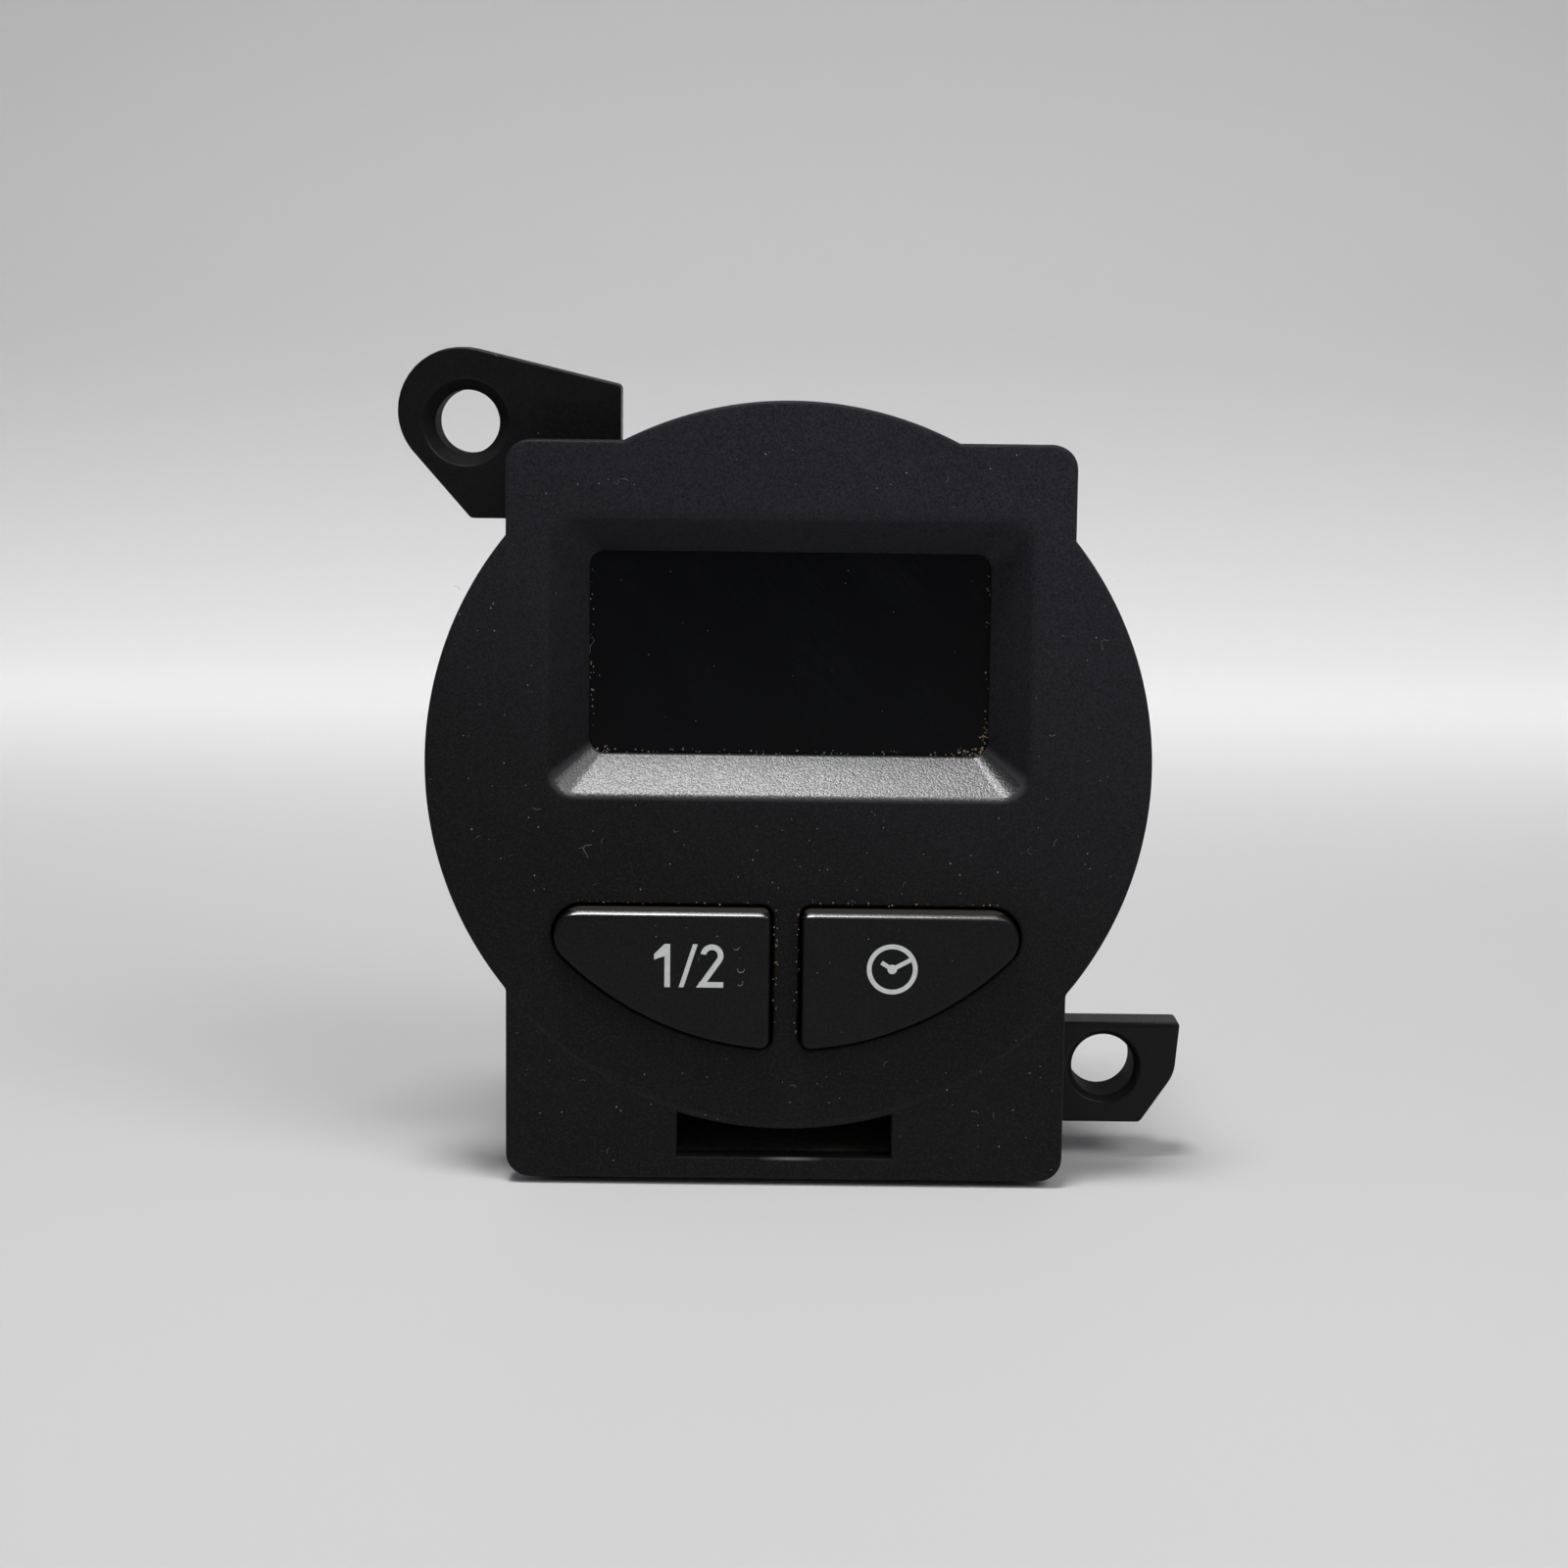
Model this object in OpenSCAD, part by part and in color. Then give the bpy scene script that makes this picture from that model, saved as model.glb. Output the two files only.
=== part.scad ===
// On-board computer display for a car's dashboard, with its housing, display, buttons and board.
// It stands on its lower edge. The face looks along -Y, +X is to its right and +Z is up.
// The origin is the middle of the whole part seen from above, on the surface that it stands on.

/* [Face] */
// Diameter of the round part of the face
disc_d = 52; // [51:0.2:54]
// Width of the upright plate beside the window's frame
plate_side = 2.9; // [2.9:0.1:3.7]
// Height of the plate above the disc's centre
plate_top = 23.1; // [23:0.1:24.5]
// Reach of the plate below the disc's centre
plate_bottom = 30.2; // [29.5:0.1:31]
// Radius of the plate's corners
plate_corner_r = 1.7; // [0.6:0.1:3]
// Radius of the hollow corners where the disc meets the plate's lower sides
hollow_r = 0.6; // [0.3:0.1:1]
// Thickness of the face
face_t = 2.2; // [1.8:0.1:2.6]

/* [Window frame] */
// Width of the window opening
window_w = 28.8; // [26:0.2:29]
// Height of the window opening
window_h = 14.7; // [12:0.1:14.7]
// Height of the window's centre above the disc's centre
window_z = 7.85; // [7.2:0.05:8]
// Radius of the window's corners
window_corner_r = 1.1; // [0.5:0.1:2]
// Width of the frame's slope at the sides
slope_side = 2.9; // [2:0.1:3.4]
// Width of the frame's slope at the top
slope_top = 2.6; // [2:0.1:3]
// Width of the frame's slope at the bottom
slope_bottom = 2.7; // [2:0.1:3.4]
// Depth of the slope behind the face
slope_depth = 2.8; // [2.7:0.1:3.4]
// Radius of the slope's corners at the face
slope_corner_r = 2; // [1.2:0.1:3]
// Thickness of the straight lip behind the slope
lip_t = 0.6; // [0.4:0.1:1]
// Wall round the window behind the face
window_wall = 1.2; // [0.8:0.1:1.3]

/* [Lower slot] */
// Width of the slot under the disc
slot_w = 15.6; // [12:0.2:17]
// Distance of the slot's lower edge below the disc's centre
slot_bottom = 28.6; // [27.9:0.1:28.8]
// Gap between the disc's circle and the arched upper edge of the slot
slot_arch = 0.45; // [0:0.05:0.6]

/* [Buttons] */
// Distance of the buttons' upper edge below the disc's centre
button_drop = 10.2; // [10:0.1:11]
// Radius of the buttons' curved lower edge
button_arc_r = 22.7; // [22:0.1:23]
// How far the middle of that curve lies above the disc's centre
button_arc_up = 2.3; // [2:0.1:2.6]
// Distance between the two buttons
button_bridge = 2.3; // [2.1:0.1:3.2]
// Radius of the buttons' outer tips
button_tip_r = 2.05; // [1.6:0.05:2.4]
// Radius of the buttons' inner corners
button_corner_r = 0.65; // [0.4:0.05:1]
// How far the buttons stand out of the face
button_proud = 1.1; // [1:0.1:1.6]
// How far a button can be pressed
button_travel = 0.9; // [0.5:0.1:1]
// Gap between a button and the face all round
button_clear = 0.2; // [0.15:0.05:0.3]
// Width of the sloped edge along the top of a button
button_slope = 0.5; // [0.3:0.1:0.8]
// Thickness of a button's front
cap_t = 1.4; // [1:0.1:1.8]
// Wall round a button
cap_wall = 0.9; // [0.7:0.1:1.2]
// Width of the rim that keeps a button in its well
rim_w = 0.7; // [0.5:0.1:0.8]
// Thickness of the rim
rim_t = 0.7; // [0.5:0.1:1]
// Depth of the guide behind the face in which a button slides
guide_d = 2.4; // [1.8:0.1:3]
// Wall of the guide
guide_wall = 0.65; // [0.5:0.05:0.8]
// Diameter of the post that presses the key
post_d = 3.6; // [2.6:0.1:4]
// Depth of the printed symbols
symbol_t = 0.15; // [0.1:0.05:0.3]
// Width of the symbols' lines
line_w = 0.4; // [0.3:0.02:0.5]
// Height of the figures
figure_h = 3.15; // [2.8:0.05:3.6]
// Outer diameter of the clock symbol
clock_d = 3.65; // [3.2:0.05:4.2]
// How far the symbols are printed to the right of the keys' middles
symbol_right = 0.2; // [0:0.05:0.3]
// How far the symbols are printed above the keys' middles
symbol_up = 0.25; // [0:0.05:0.4]

/* [Display] */
// Thickness of the smoked window
pane_t = 1.2; // [1:0.1:1.6]
// How far the window laps behind its frame
pane_lap = 1.4; // [1:0.1:1.4]
// Thickness of the foam gasket
gasket_t = 0.8; // [0.6:0.1:1.2]
// Thickness of each pane of the display cell
glass_t = 1.1; // [0.9:0.1:1.2]
// Thickness of each polarising film
film_t = 0.2; // [0.15:0.05:0.3]
// Thickness of the diffuser
diffuser_t = 0.6; // [0.5:0.1:1]
// Depth of the light chamber behind the diffuser
chamber_d = 3.4; // [3.2:0.1:4]
// Height of each contact strip
strip_h = 1.7; // [1.3:0.1:1.8]
// Wall of the display's carrier
carrier_wall = 0.95; // [0.7:0.05:1]

/* [Housing] */
// How far the housing's sides stand back from the plate's edge
housing_inset = 1; // [0.8:0.1:1.1]
// How far the housing reaches below the plate
housing_drop = 0.5; // [0.4:0.1:1.6]
// Wall of the housing
wall = 1.5; // [1.3:0.1:1.6]
// Radius of the housing's corners
housing_corner_r = 2.5; // [2:0.1:3.5]
// Room behind the board
rear_space = 8.9; // [8:0.1:12]
// Width of a snap arm
arm_w = 4; // [3:0.1:4.2]
// Thickness of a snap arm
arm_t = 1.2; // [0.9:0.1:1.3]
// Reach of a snap hook into the wall
hook_reach = 1; // [0.7:0.1:1.2]
// Depth of the hooks behind the face
hook_y = 5.6; // [5:0.1:6]

/* [Ears] */
// Distance of the upper hole from the housing's side
upper_hole_out = 4.6; // [3.8:0.1:6.8]
// Height of the upper hole above the housing's top
upper_hole_up = 1.9; // [1.4:0.1:3.9]
// Distance of the lower hole from the housing's side
lower_hole_out = 4.8; // [4.1:0.1:6.8]
// Height of the lower hole above the housing's underside
lower_hole_up = 7.1; // [6.7:0.1:8.7]
// Depth of the ears behind the face
ear_y = 9; // [8:0.1:10]
// Thickness of the ears
ear_t = 3.2; // [2.4:0.1:4]
// Reach of the upper ear beyond its hole, away from the housing
upper_ear_reach = 5.05; // [4.8:0.05:6]
// Reach of the lower ear beyond its hole, away from the housing
lower_ear_reach = 5.7; // [5.3:0.1:6.3]
// Diameter of the ear holes
ear_hole_d = 4.7; // [4:0.1:5]
// Width of the countersink round the upper hole
countersink = 0.85; // [0.4:0.05:1]
// Height of the collar behind each hole
collar_t = 1.9; // [1:0.1:3]
// Diameter of the collar behind each hole
collar_d = 8; // [7:0.1:8.4]

/* [Board] */
// Thickness of the circuit board
board_t = 1.6; // [1:0.1:2]
// Thickness of the key mat
mat_t = 1.2; // [1:0.1:1.6]
// Height of a key dome above the mat
dome_h = 2.8; // [2.4:0.1:3]
// Diameter of a key dome at its foot
dome_d = 7.6; // [7:0.1:8]
// Diameter of the board screws
screw_d = 1.9; // [1.6:0.1:2.2]
// Length of the board screws under the head
screw_len = 8; // [6:0.5:9]
// Diameter of the screw heads
head_d = 3.8; // [3.4:0.1:4.2]

/* [Connector] */
// Height of the connector's centre above the housing's underside
connector_up = 7.3; // [7.1:0.1:8]
// Pins in each of the two rows
pins_per_row = 6; // [4:1:6]
// Distance between pins
pin_pitch = 2.54; // [2:0.02:2.6]
// Width of a square pin
pin_w = 0.64; // [0.5:0.02:0.8]
// Free length of the pins in the socket
pin_free = 6; // [5:0.1:6.5]
// Room inside the socket beyond the pin tips
socket_free = 5; // [4.6:0.1:7]
// Wall of the socket
socket_wall = 1.2; // [0.8:0.1:1.4]

/* [Hidden] */
$fn = 64;

// Small clearances and the excess by which a cut runs past a face
over = 0.5;
fit = 0.1;
slide_fit = 0.15;
print_fit = 0.02;
skin = 0.01;

// Depths behind the face, from the window back to the rim of the socket
seat_y = slope_depth + lip_t;
pane_back_y = seat_y + pane_t;
cell_y = pane_back_y + gasket_t;
front_glass_y = cell_y + film_t;
rear_glass_y = front_glass_y + glass_t;
rear_film_y = rear_glass_y + glass_t;
diffuser_y = rear_film_y + film_t;
chamber_y = diffuser_y + diffuser_t;
board_y = chamber_y + chamber_d;
board_back_y = board_y + board_t;
rear_inner_y = board_back_y + rear_space;
rear_y = rear_inner_y + wall;
socket_floor_t = 2.4;
pin_tip_y = board_back_y + socket_floor_t + pin_free;
socket_rim_y = max(pin_tip_y + socket_free, rear_y + fit);

// The plate is as wide as the window's frame asks, or as the buttons' guides ask
button_reach = sqrt(pow(button_arc_r - button_tip_r, 2)
    - pow(button_drop + button_tip_r + button_arc_up, 2)) + button_tip_r;
button_foot = button_arc_r - button_arc_up;
guide_reach = button_reach + button_clear + guide_wall;
plate_w = 2 * max(window_w / 2 + slope_side + plate_side,
                  guide_reach + fit + wall + housing_inset);

// Where the part stands
stand_z = plate_bottom + housing_drop;
mid_y = (socket_rim_y - button_proud) / 2;

// Window, display cell and carrier
opening = [window_w, window_h];
slope_mouth = [window_w + 2 * slope_side, window_h + slope_top + slope_bottom];
slope_shift = (slope_top - slope_bottom) / 2;
pane = [window_w + 2 * pane_lap, window_h + 2 * pane_lap];
window_boss = [for (v = pane) v + 2 * (fit + window_wall)];
cell_margin_x = 1;
cell_margin_z = 0.15;
strip_rib = 0.35;
rear_glass = [window_w + 2 * cell_margin_x, window_h + 2 * cell_margin_z];
ledge = fit + strip_rib + strip_h + 2 * slide_fit + fit;
front_glass = [rear_glass[0], rear_glass[1] + 2 * ledge];
carrier = [for (v = front_glass) v + 2 * (fit + carrier_wall)];
strip_z = rear_glass[1] / 2 + fit + strip_rib + slide_fit + strip_h / 2;
strip_side_gap = 0.8;
chamber_rim = 1.6;
panel_r = 0.6;
lamp = [3.5, 2.8];
lamp_t = 1.9;
lamp_cup_d = 2.4;
lamp_cup_depth = 0.6;

// Housing and board
housing_w = plate_w - 2 * housing_inset;
housing_top = plate_top - housing_inset;
housing_h = housing_top + stand_z;
housing_mid_z = (housing_top - stand_z) / 2;
inner = [housing_w - 2 * wall, housing_h - 2 * wall];
inner_r = housing_corner_r - wall;
board_gap = 0.4;
board = [for (v = inner) v - 2 * board_gap];
upper_hole_x = housing_w / 2 + upper_hole_out;
upper_hole_z = housing_top + upper_hole_up;
lower_hole_x = housing_w / 2 + lower_hole_out;
lower_hole_z = stand_z - lower_hole_up;
upper_ear_right = 11.3;
mid_x = (lower_hole_x + lower_ear_reach - upper_hole_x - upper_ear_reach) / 2;
hook_len = 1.8;
latch_window_h = hook_len + 2 * slide_fit;
side_arm_z = (window_z - carrier[1] / 2 - button_drop) / 2;
end_arm_x = inner[0] / 2 - arm_w / 2 - 3.3;
boss_wall = 1.5;
boss_x = board[0] / 2 - 2.9;
upper_screw_z = side_arm_z;
lower_screw_z = housing_mid_z - board[1] / 2 + 3.2;
peg_z = housing_mid_z + board[1] / 2 - 3;
peg_d = 1.8;
head_t = 1.3;
label_bed = [0.72 * housing_w, 0.27 * housing_h];
label_bed_t = 0.4;
label_bed_z = housing_top - label_bed[1] / 2 - 6.5;

// Buttons, keys and their symbols
guide_back_y = face_t + guide_d;
rim_gap = 0.3;
rim_y = guide_back_y + rim_gap;
key_share = 0.3635;
key_x = key_share * button_foot;
key_z = -(button_drop + button_foot) / 2 + 0.7;
dome_top_y = board_y - mat_t - dome_h;
dome_wall = 0.6;
dome_roof = 0.8;
dome_top_d = 4.8;
pill_d = 3;
pill_t = 0.5;
pill_gap = 0.3;
pad_t = 0.1;
pill_back_y = board_y - pad_t - pill_gap - button_travel;
key_lamp_x = key_x + 5.4;
key_lamp_z = key_z + 0.9;
lamp_hole_d = 3;
key_lamp = [2, 1.25];
key_lamp_t = 0.8;
mat_margin = 1.4;
mat = [2 * (key_lamp_x + lamp_hole_d / 2 + mat_margin), dome_d + 2 * mat_margin];
figure_gap = 0.8;

// Connector
pin_span = (pins_per_row - 1) * pin_pitch;
plug_side = 2.15;
plug_over = 2.75;
socket_room = [pin_span + 2 * plug_side, pin_pitch + 2 * plug_over];
socket = [for (v = socket_room) v + 2 * socket_wall];
key_slot_w = 2;
connector_z = stand_z - connector_up;

// Parts on the back of the board: sizes, and places measured from what they stand by
chip_body = 10;
chip_body_t = 1.4;
chip_x = -3;
chip_z = window_z - 1;
crystal = [4.8, 11.4];
crystal_t = 3.6;
crystal_x = chip_x + chip_body / 2 + 7.6;
regulator = [6.5, 3.5];
regulator_t = 1.7;
regulator_lift = 0.1;
regulator_tab = [3, 2];
regulator_leg = [0.7, 2];
regulator_leg_t = 0.3;
regulator_pitch = 2.3;
regulator_x = 6.6;
can_d = 6.3;
can_h = 6.5;
can_base = can_d + 0.3;
can_x = -7;
power_z = side_arm_z + 0.4;
resistor = [1.25, 2];
resistor_t = 0.5;
resistor_step = [1.92 * resistor[0], 1.3 * resistor[1]];
resistor_x = chip_x - 6.6;
resistor_z = chip_z + chip_body / 2 + 3.1;
capacitor = [2, 1.25];
capacitor_t = 0.9;
capacitor_step = 2.08 * capacitor[1];
capacitor_x = 3.7 - board[0] / 2;
capacitor_z = chip_z - 5;

// Shared shapes

// Moves a piece drawn about the disc's centre to where the part stands
module in_place() {
    translate([-mid_x, -mid_y, stand_z]) children();
}

// A flat outline in the plane of the face, made solid from one depth backwards
module slab(front, depth) {
    translate([0, front + depth, 0]) rotate([90, 0, 0]) linear_extrude(depth) children();
}

// A rod along the depth, at a place in the plane of the face
module rod(x, z, front, depth, d) {
    slab(front, depth) translate([x, z]) circle(d = d);
}

// A rectangle with round corners
module rounded_rect(size, r) {
    square([size[0] - 2 * r, size[1]], center = true);
    square([size[0], size[1] - 2 * r], center = true);
    for (x = [-1, 1], z = [-1, 1])
        translate([x * (size[0] / 2 - r), z * (size[1] / 2 - r)]) circle(r);
}

// A wedge that clears a corner, so that a circle can round it
module corner_wedge(centre, from, to, reach) {
    angles = [from, (from + to) / 2, to];
    polygon(concat([centre], [for (a = angles) centre + reach * [cos(a), sin(a)]]));
}

// A convex outline through [x, z, corner radius] points, listed anticlockwise
module rounded_outline(points) {
    n = len(points);
    function at(i) = [points[(i + n) % n][0], points[(i + n) % n][1]];
    function way(i) = (at(i + 1) - at(i)) / norm(at(i + 1) - at(i));
    function turn(i) = acos(way(i - 1) * way(i));
    function centre(i) = at(i) + points[i][2]
        * ([-way(i - 1)[1], way(i - 1)[0]] - tan(turn(i) / 2) * way(i - 1));
    function heading(i) = atan2(way(i)[1], way(i)[0]);
    difference() {
        polygon([for (i = [0 : n - 1]) at(i)]);
        for (i = [0 : n - 1])
            if (points[i][2] > 0)
                corner_wedge(centre(i), heading(i - 1) - 90, heading(i - 1) - 90 + turn(i),
                             2 * points[i][2] / cos(turn(i) / 2));
    }
    for (i = [0 : n - 1])
        if (points[i][2] > 0)
            translate(centre(i)) circle(points[i][2]);
}

// Outline of the right-hand button, grown evenly by a clearance
module half_moon(grow = 0) {
    arc_r = button_arc_r + grow;
    top = -button_drop + grow;
    side = button_bridge / 2 - grow;
    tip_r = max(button_tip_r + grow, 0.2);
    corner_r = max(button_corner_r + grow, 0.2);
    up = button_arc_up;
    tip = [sqrt(pow(arc_r - tip_r, 2) - pow(top - tip_r - up, 2)), top - tip_r];
    upper = [side + corner_r, top - corner_r];
    lower = [side + corner_r, up - sqrt(pow(arc_r - corner_r, 2) - pow(side + corner_r, 2))];
    difference() {
        intersection() {
            translate([0, up]) circle(arc_r);
            translate([side, -arc_r]) square([arc_r, arc_r + top]);
        }
        corner_wedge(tip, atan2(tip[1] - up, tip[0]), 90, 4 * tip_r);
        corner_wedge(upper, 90, 180, 2 * corner_r);
        corner_wedge(lower, 180, 360 + atan2(lower[1] - up, lower[0]), 2 * corner_r);
    }
    translate(tip) circle(tip_r);
    translate(upper) circle(corner_r);
    translate(lower) circle(corner_r);
}

// Repeats a right-hand shape on one side: 1 is right, -1 is left
module on_side(side) {
    mirror([side < 0 ? 1 : 0, 0, 0]) children();
}

// Places a shape at each snap: X runs out through the wall from its inner face
module at_snaps() {
    for (side = [-1, 1]) on_side(side) {
        translate([inner[0] / 2, 0, side_arm_z]) children();
        translate([end_arm_x, 0, housing_mid_z + inner[1] / 2]) rotate([0, -90, 0]) children();
        translate([end_arm_x, 0, housing_mid_z - inner[1] / 2]) rotate([0, 90, 0]) children();
    }
}

// Face

// The hollow corner between the disc and the plate's lower right side
module hollow_corner() {
    edge = plate_w / 2;
    meet = [edge, -sqrt(pow(disc_d / 2, 2) - edge * edge)];
    centre = [edge + hollow_r, -sqrt(pow(disc_d / 2 + hollow_r, 2) - pow(edge + hollow_r, 2))];
    difference() {
        polygon([centre, centre * disc_d / 2 / (disc_d / 2 + hollow_r), meet, [edge, centre[1]]]);
        translate(centre) circle(hollow_r);
    }
}

module face_outline() {
    circle(disc_d / 2);
    translate([0, (plate_top - plate_bottom) / 2])
        rounded_rect([plate_w, plate_top + plate_bottom], plate_corner_r);
    for (side = [-1, 1]) on_side(side) hollow_corner();
}

// The recess from the sloped frame down to the seat of the window
module window_recess() {
    hull() {
        slab(-skin, skin) translate([0, window_z + slope_shift])
            rounded_rect(slope_mouth, slope_corner_r, $fn = 32);
        slab(slope_depth, skin) translate([0, window_z])
            rounded_rect(opening, window_corner_r, $fn = 32);
    }
    slab(slope_depth - skin, lip_t + over) translate([0, window_z])
        rounded_rect(opening, window_corner_r);
    slab(seat_y, pane_t + over) translate([0, window_z])
        rounded_rect([for (v = pane) v + 2 * fit], panel_r);
}

// The slot whose upper edge follows the disc
module lower_slot() {
    slab(-over, face_t + 2 * over) difference() {
        translate([-slot_w / 2, -slot_bottom]) square([slot_w, slot_bottom]);
        circle(disc_d / 2 + slot_arch);
    }
}

// A snap arm with its hook, drawn for the wall on +X
module snap_arm() {
    linear_extrude(arm_w, center = true) polygon([
        [-slide_fit - arm_t, face_t - skin],
        [-slide_fit, face_t - skin],
        [-slide_fit, hook_y],
        [hook_reach, hook_y],
        [hook_reach, hook_y + 0.4],
        [-slide_fit, hook_y + hook_len],
        [-slide_fit - arm_t, hook_y + hook_len]
    ]);
}

module bezel() {
    color([0.13, 0.13, 0.14]) in_place() difference() {
        union() {
            slab(0, face_t) face_outline();
            slab(face_t - skin, pane_back_y - face_t + skin) translate([0, window_z])
                rounded_rect(window_boss, panel_r);
            for (side = [-1, 1]) on_side(side)
                slab(face_t - skin, guide_d + skin) half_moon(button_clear + guide_wall);
            at_snaps() snap_arm();
        }
        window_recess();
        lower_slot();
        for (side = [-1, 1]) on_side(side)
            slab(-over, guide_back_y + 2 * over) half_moon(button_clear);
    }
}

// Buttons

// The figure one, standing on the line, centred on X
module figure_one(w, grow) {
    h = figure_h;
    translate([-w / 2 - grow + 0.2, -grow]) square([w + 2 * grow, h + 2 * grow]);
    polygon([
        [0.2, h + grow], [0.2 - w / 2 - grow, h + grow], [-0.75 - grow, h - 0.75],
        [-0.75 - grow, h - 0.75 - w - 2 * grow], [0.2, h - 0.42 - w]
    ]);
}

// The slanted stroke, centred on X
module slanted_stroke(w, grow) {
    half = w / 2 + grow;
    h = figure_h;
    polygon([
        [-0.5 - half, -grow], [-0.5 + half, -grow], [0.5 + half, h + grow], [0.5 - half, h + grow]
    ]);
}

// The figure two, standing on the line, centred on X
module figure_two(w, grow) {
    bow = figure_h * 0.26;
    mid = bow - w / 2;
    start = 172;
    end = -35;
    translate([0, figure_h - bow]) difference() {
        circle(bow + grow);
        circle(bow - w - grow);
        polygon([
            [0, 0], 3 * [cos(start), sin(start)], [-3, -3], [3, -3], 3 * [cos(end), sin(end)]
        ]);
    }
    intersection() {
        translate([mid * cos(end), figure_h - bow + mid * sin(end)]) rotate(end - 90)
            translate([-0.03, -w / 2 - grow]) square([figure_h, w + 2 * grow]);
        translate([-2, -grow]) square([4, figure_h]);
    }
    translate([-bow - 0.1 - grow, -grow]) square([2 * bow + 0.1 + 2 * grow, w + 2 * grow]);
}

// The figures on the left button
module figures(grow = 0) {
    step = line_w + 2 * figure_gap - 0.3;
    translate([symbol_right + 0.2 - key_x, key_z + symbol_up + 0.1 - figure_h / 2]) {
        translate([-step, 0]) figure_one(line_w, grow);
        slanted_stroke(line_w * 0.85, grow);
        translate([step, 0]) figure_two(line_w, grow);
    }
}

// The clock on the right button: a ring with two hands
module clock(grow = 0) {
    r = clock_d / 2;
    ring_w = line_w * 0.86;
    hand = line_w * 0.78 / 2 + grow;
    translate([key_x + symbol_right, key_z + symbol_up]) {
        difference() {
            circle(r + grow);
            circle(r - ring_w - grow);
        }
        circle(line_w * 0.85 + grow);
        rotate(28) translate([0, -hand]) square([r - ring_w / 2, 2 * hand]);
        rotate(148) translate([0, -hand]) square([r / 2 + grow, 2 * hand]);
    }
}

// The right-hand cap, less its symbol: a shell with a rim, a sloped top edge and a post
module cap_shell() {
    difference() {
        union() {
            slab(-button_proud, rim_y + rim_t + button_proud) half_moon();
            slab(rim_y, rim_t) half_moon(rim_w);
        }
        slab(cap_t - button_proud, rim_y + rim_t + over) half_moon(-cap_wall);
        translate([0, -button_proud, -button_drop]) rotate([90, 0, 90])
            linear_extrude(button_arc_r) polygon([
                [-over, over], [button_slope + over, over], [button_slope, 0], [0, -button_slope],
                [-over, -button_slope]
            ]);
    }
    rod(key_x, key_z, cap_t - button_proud - skin, dome_top_y - cap_t + button_proud + skin, post_d);
}

module left_button_cap() {
    color([0.10, 0.10, 0.11]) in_place() difference() {
        on_side(-1) cap_shell();
        slab(-button_proud - over, symbol_t + over) figures(print_fit);
    }
}

module right_button_cap() {
    color([0.10, 0.10, 0.11]) in_place() difference() {
        cap_shell();
        slab(-button_proud - over, symbol_t + over) clock(print_fit);
    }
}

module left_symbol() {
    color([0.80, 0.80, 0.80]) in_place() slab(-button_proud, symbol_t) figures();
}

module right_symbol() {
    color([0.80, 0.80, 0.80]) in_place() slab(-button_proud, symbol_t) clock();
}

// Keys

// A right-hand silicone dome, with a post inside that carries the pill
module key_dome() {
    translate([key_x, board_y - mat_t, key_z]) rotate([90, 0, 0]) rotate_extrude() polygon([
        [dome_d / 2 - dome_wall, 0], [dome_d / 2, 0], [dome_top_d / 2, dome_h], [0, dome_h],
        [0, board_y - mat_t - pill_back_y + pill_t],
        [pill_d / 2, board_y - mat_t - pill_back_y + pill_t],
        [pill_d / 2, dome_h - dome_roof], [dome_top_d / 2 - dome_wall, dome_h - dome_roof]
    ]);
}

module left_key_dome() {
    color([0.72, 0.74, 0.72]) in_place() on_side(-1) key_dome();
}

module right_key_dome() {
    color([0.72, 0.74, 0.72]) in_place() key_dome();
}

module contact_pill() {
    rod(key_x, key_z, pill_back_y - pill_t, pill_t, pill_d);
}

module left_contact_pill() {
    color([0.16, 0.16, 0.17]) in_place() on_side(-1) contact_pill();
}

module right_contact_pill() {
    color([0.16, 0.16, 0.17]) in_place() contact_pill();
}

module keypad_mat() {
    color([0.72, 0.74, 0.72]) in_place() slab(board_y - mat_t, mat_t) difference() {
        translate([0, key_z]) rounded_rect(mat, mat_margin);
        for (side = [-1, 1]) {
            translate([side * key_x, key_z]) circle(d = dome_d - 2 * dome_wall);
            translate([side * key_lamp_x, key_lamp_z]) circle(d = lamp_hole_d);
        }
    }
}

// Gold fingers on the board under each pill
module contact_pads() {
    finger = 0.5;
    color([0.83, 0.66, 0.26]) in_place() slab(board_y - pad_t, pad_t)
        for (side = [-1, 1]) translate([side * key_x, key_z]) intersection() {
            circle(d = pill_d + 1.2);
            for (i = [-2 : 2]) translate([i * 2 * finger - finger / 2, -pill_d])
                square([finger, 2 * pill_d]);
        }
}

// Window and display

module panel(size, front, t) {
    slab(front, t) translate([0, window_z]) rounded_rect(size, panel_r);
}

module display_window() {
    color([0.03, 0.03, 0.04, 0.9]) in_place() panel(pane, seat_y, pane_t);
}

module window_gasket() {
    color([0.20, 0.20, 0.21]) in_place() slab(pane_back_y, gasket_t) translate([0, window_z])
        difference() {
            rounded_rect([for (v = window_boss) v - 2 * fit], panel_r);
            rounded_rect([for (v = opening) v + 2 * fit], panel_r);
        }
}

module front_polariser() {
    color([0.25, 0.26, 0.27, 0.8]) in_place() panel(rear_glass, cell_y, film_t);
}

module lcd_front_glass() {
    color([0.70, 0.78, 0.76, 0.5]) in_place() panel(front_glass, front_glass_y, glass_t);
}

module lcd_rear_glass() {
    color([0.70, 0.78, 0.76, 0.5]) in_place() panel(rear_glass, rear_glass_y, glass_t);
}

module rear_polariser() {
    color([0.25, 0.26, 0.27, 0.8]) in_place() panel(rear_glass, rear_film_y, film_t);
}

module light_diffuser() {
    color([0.93, 0.93, 0.90]) in_place() panel(rear_glass, diffuser_y, diffuser_t);
}

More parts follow.
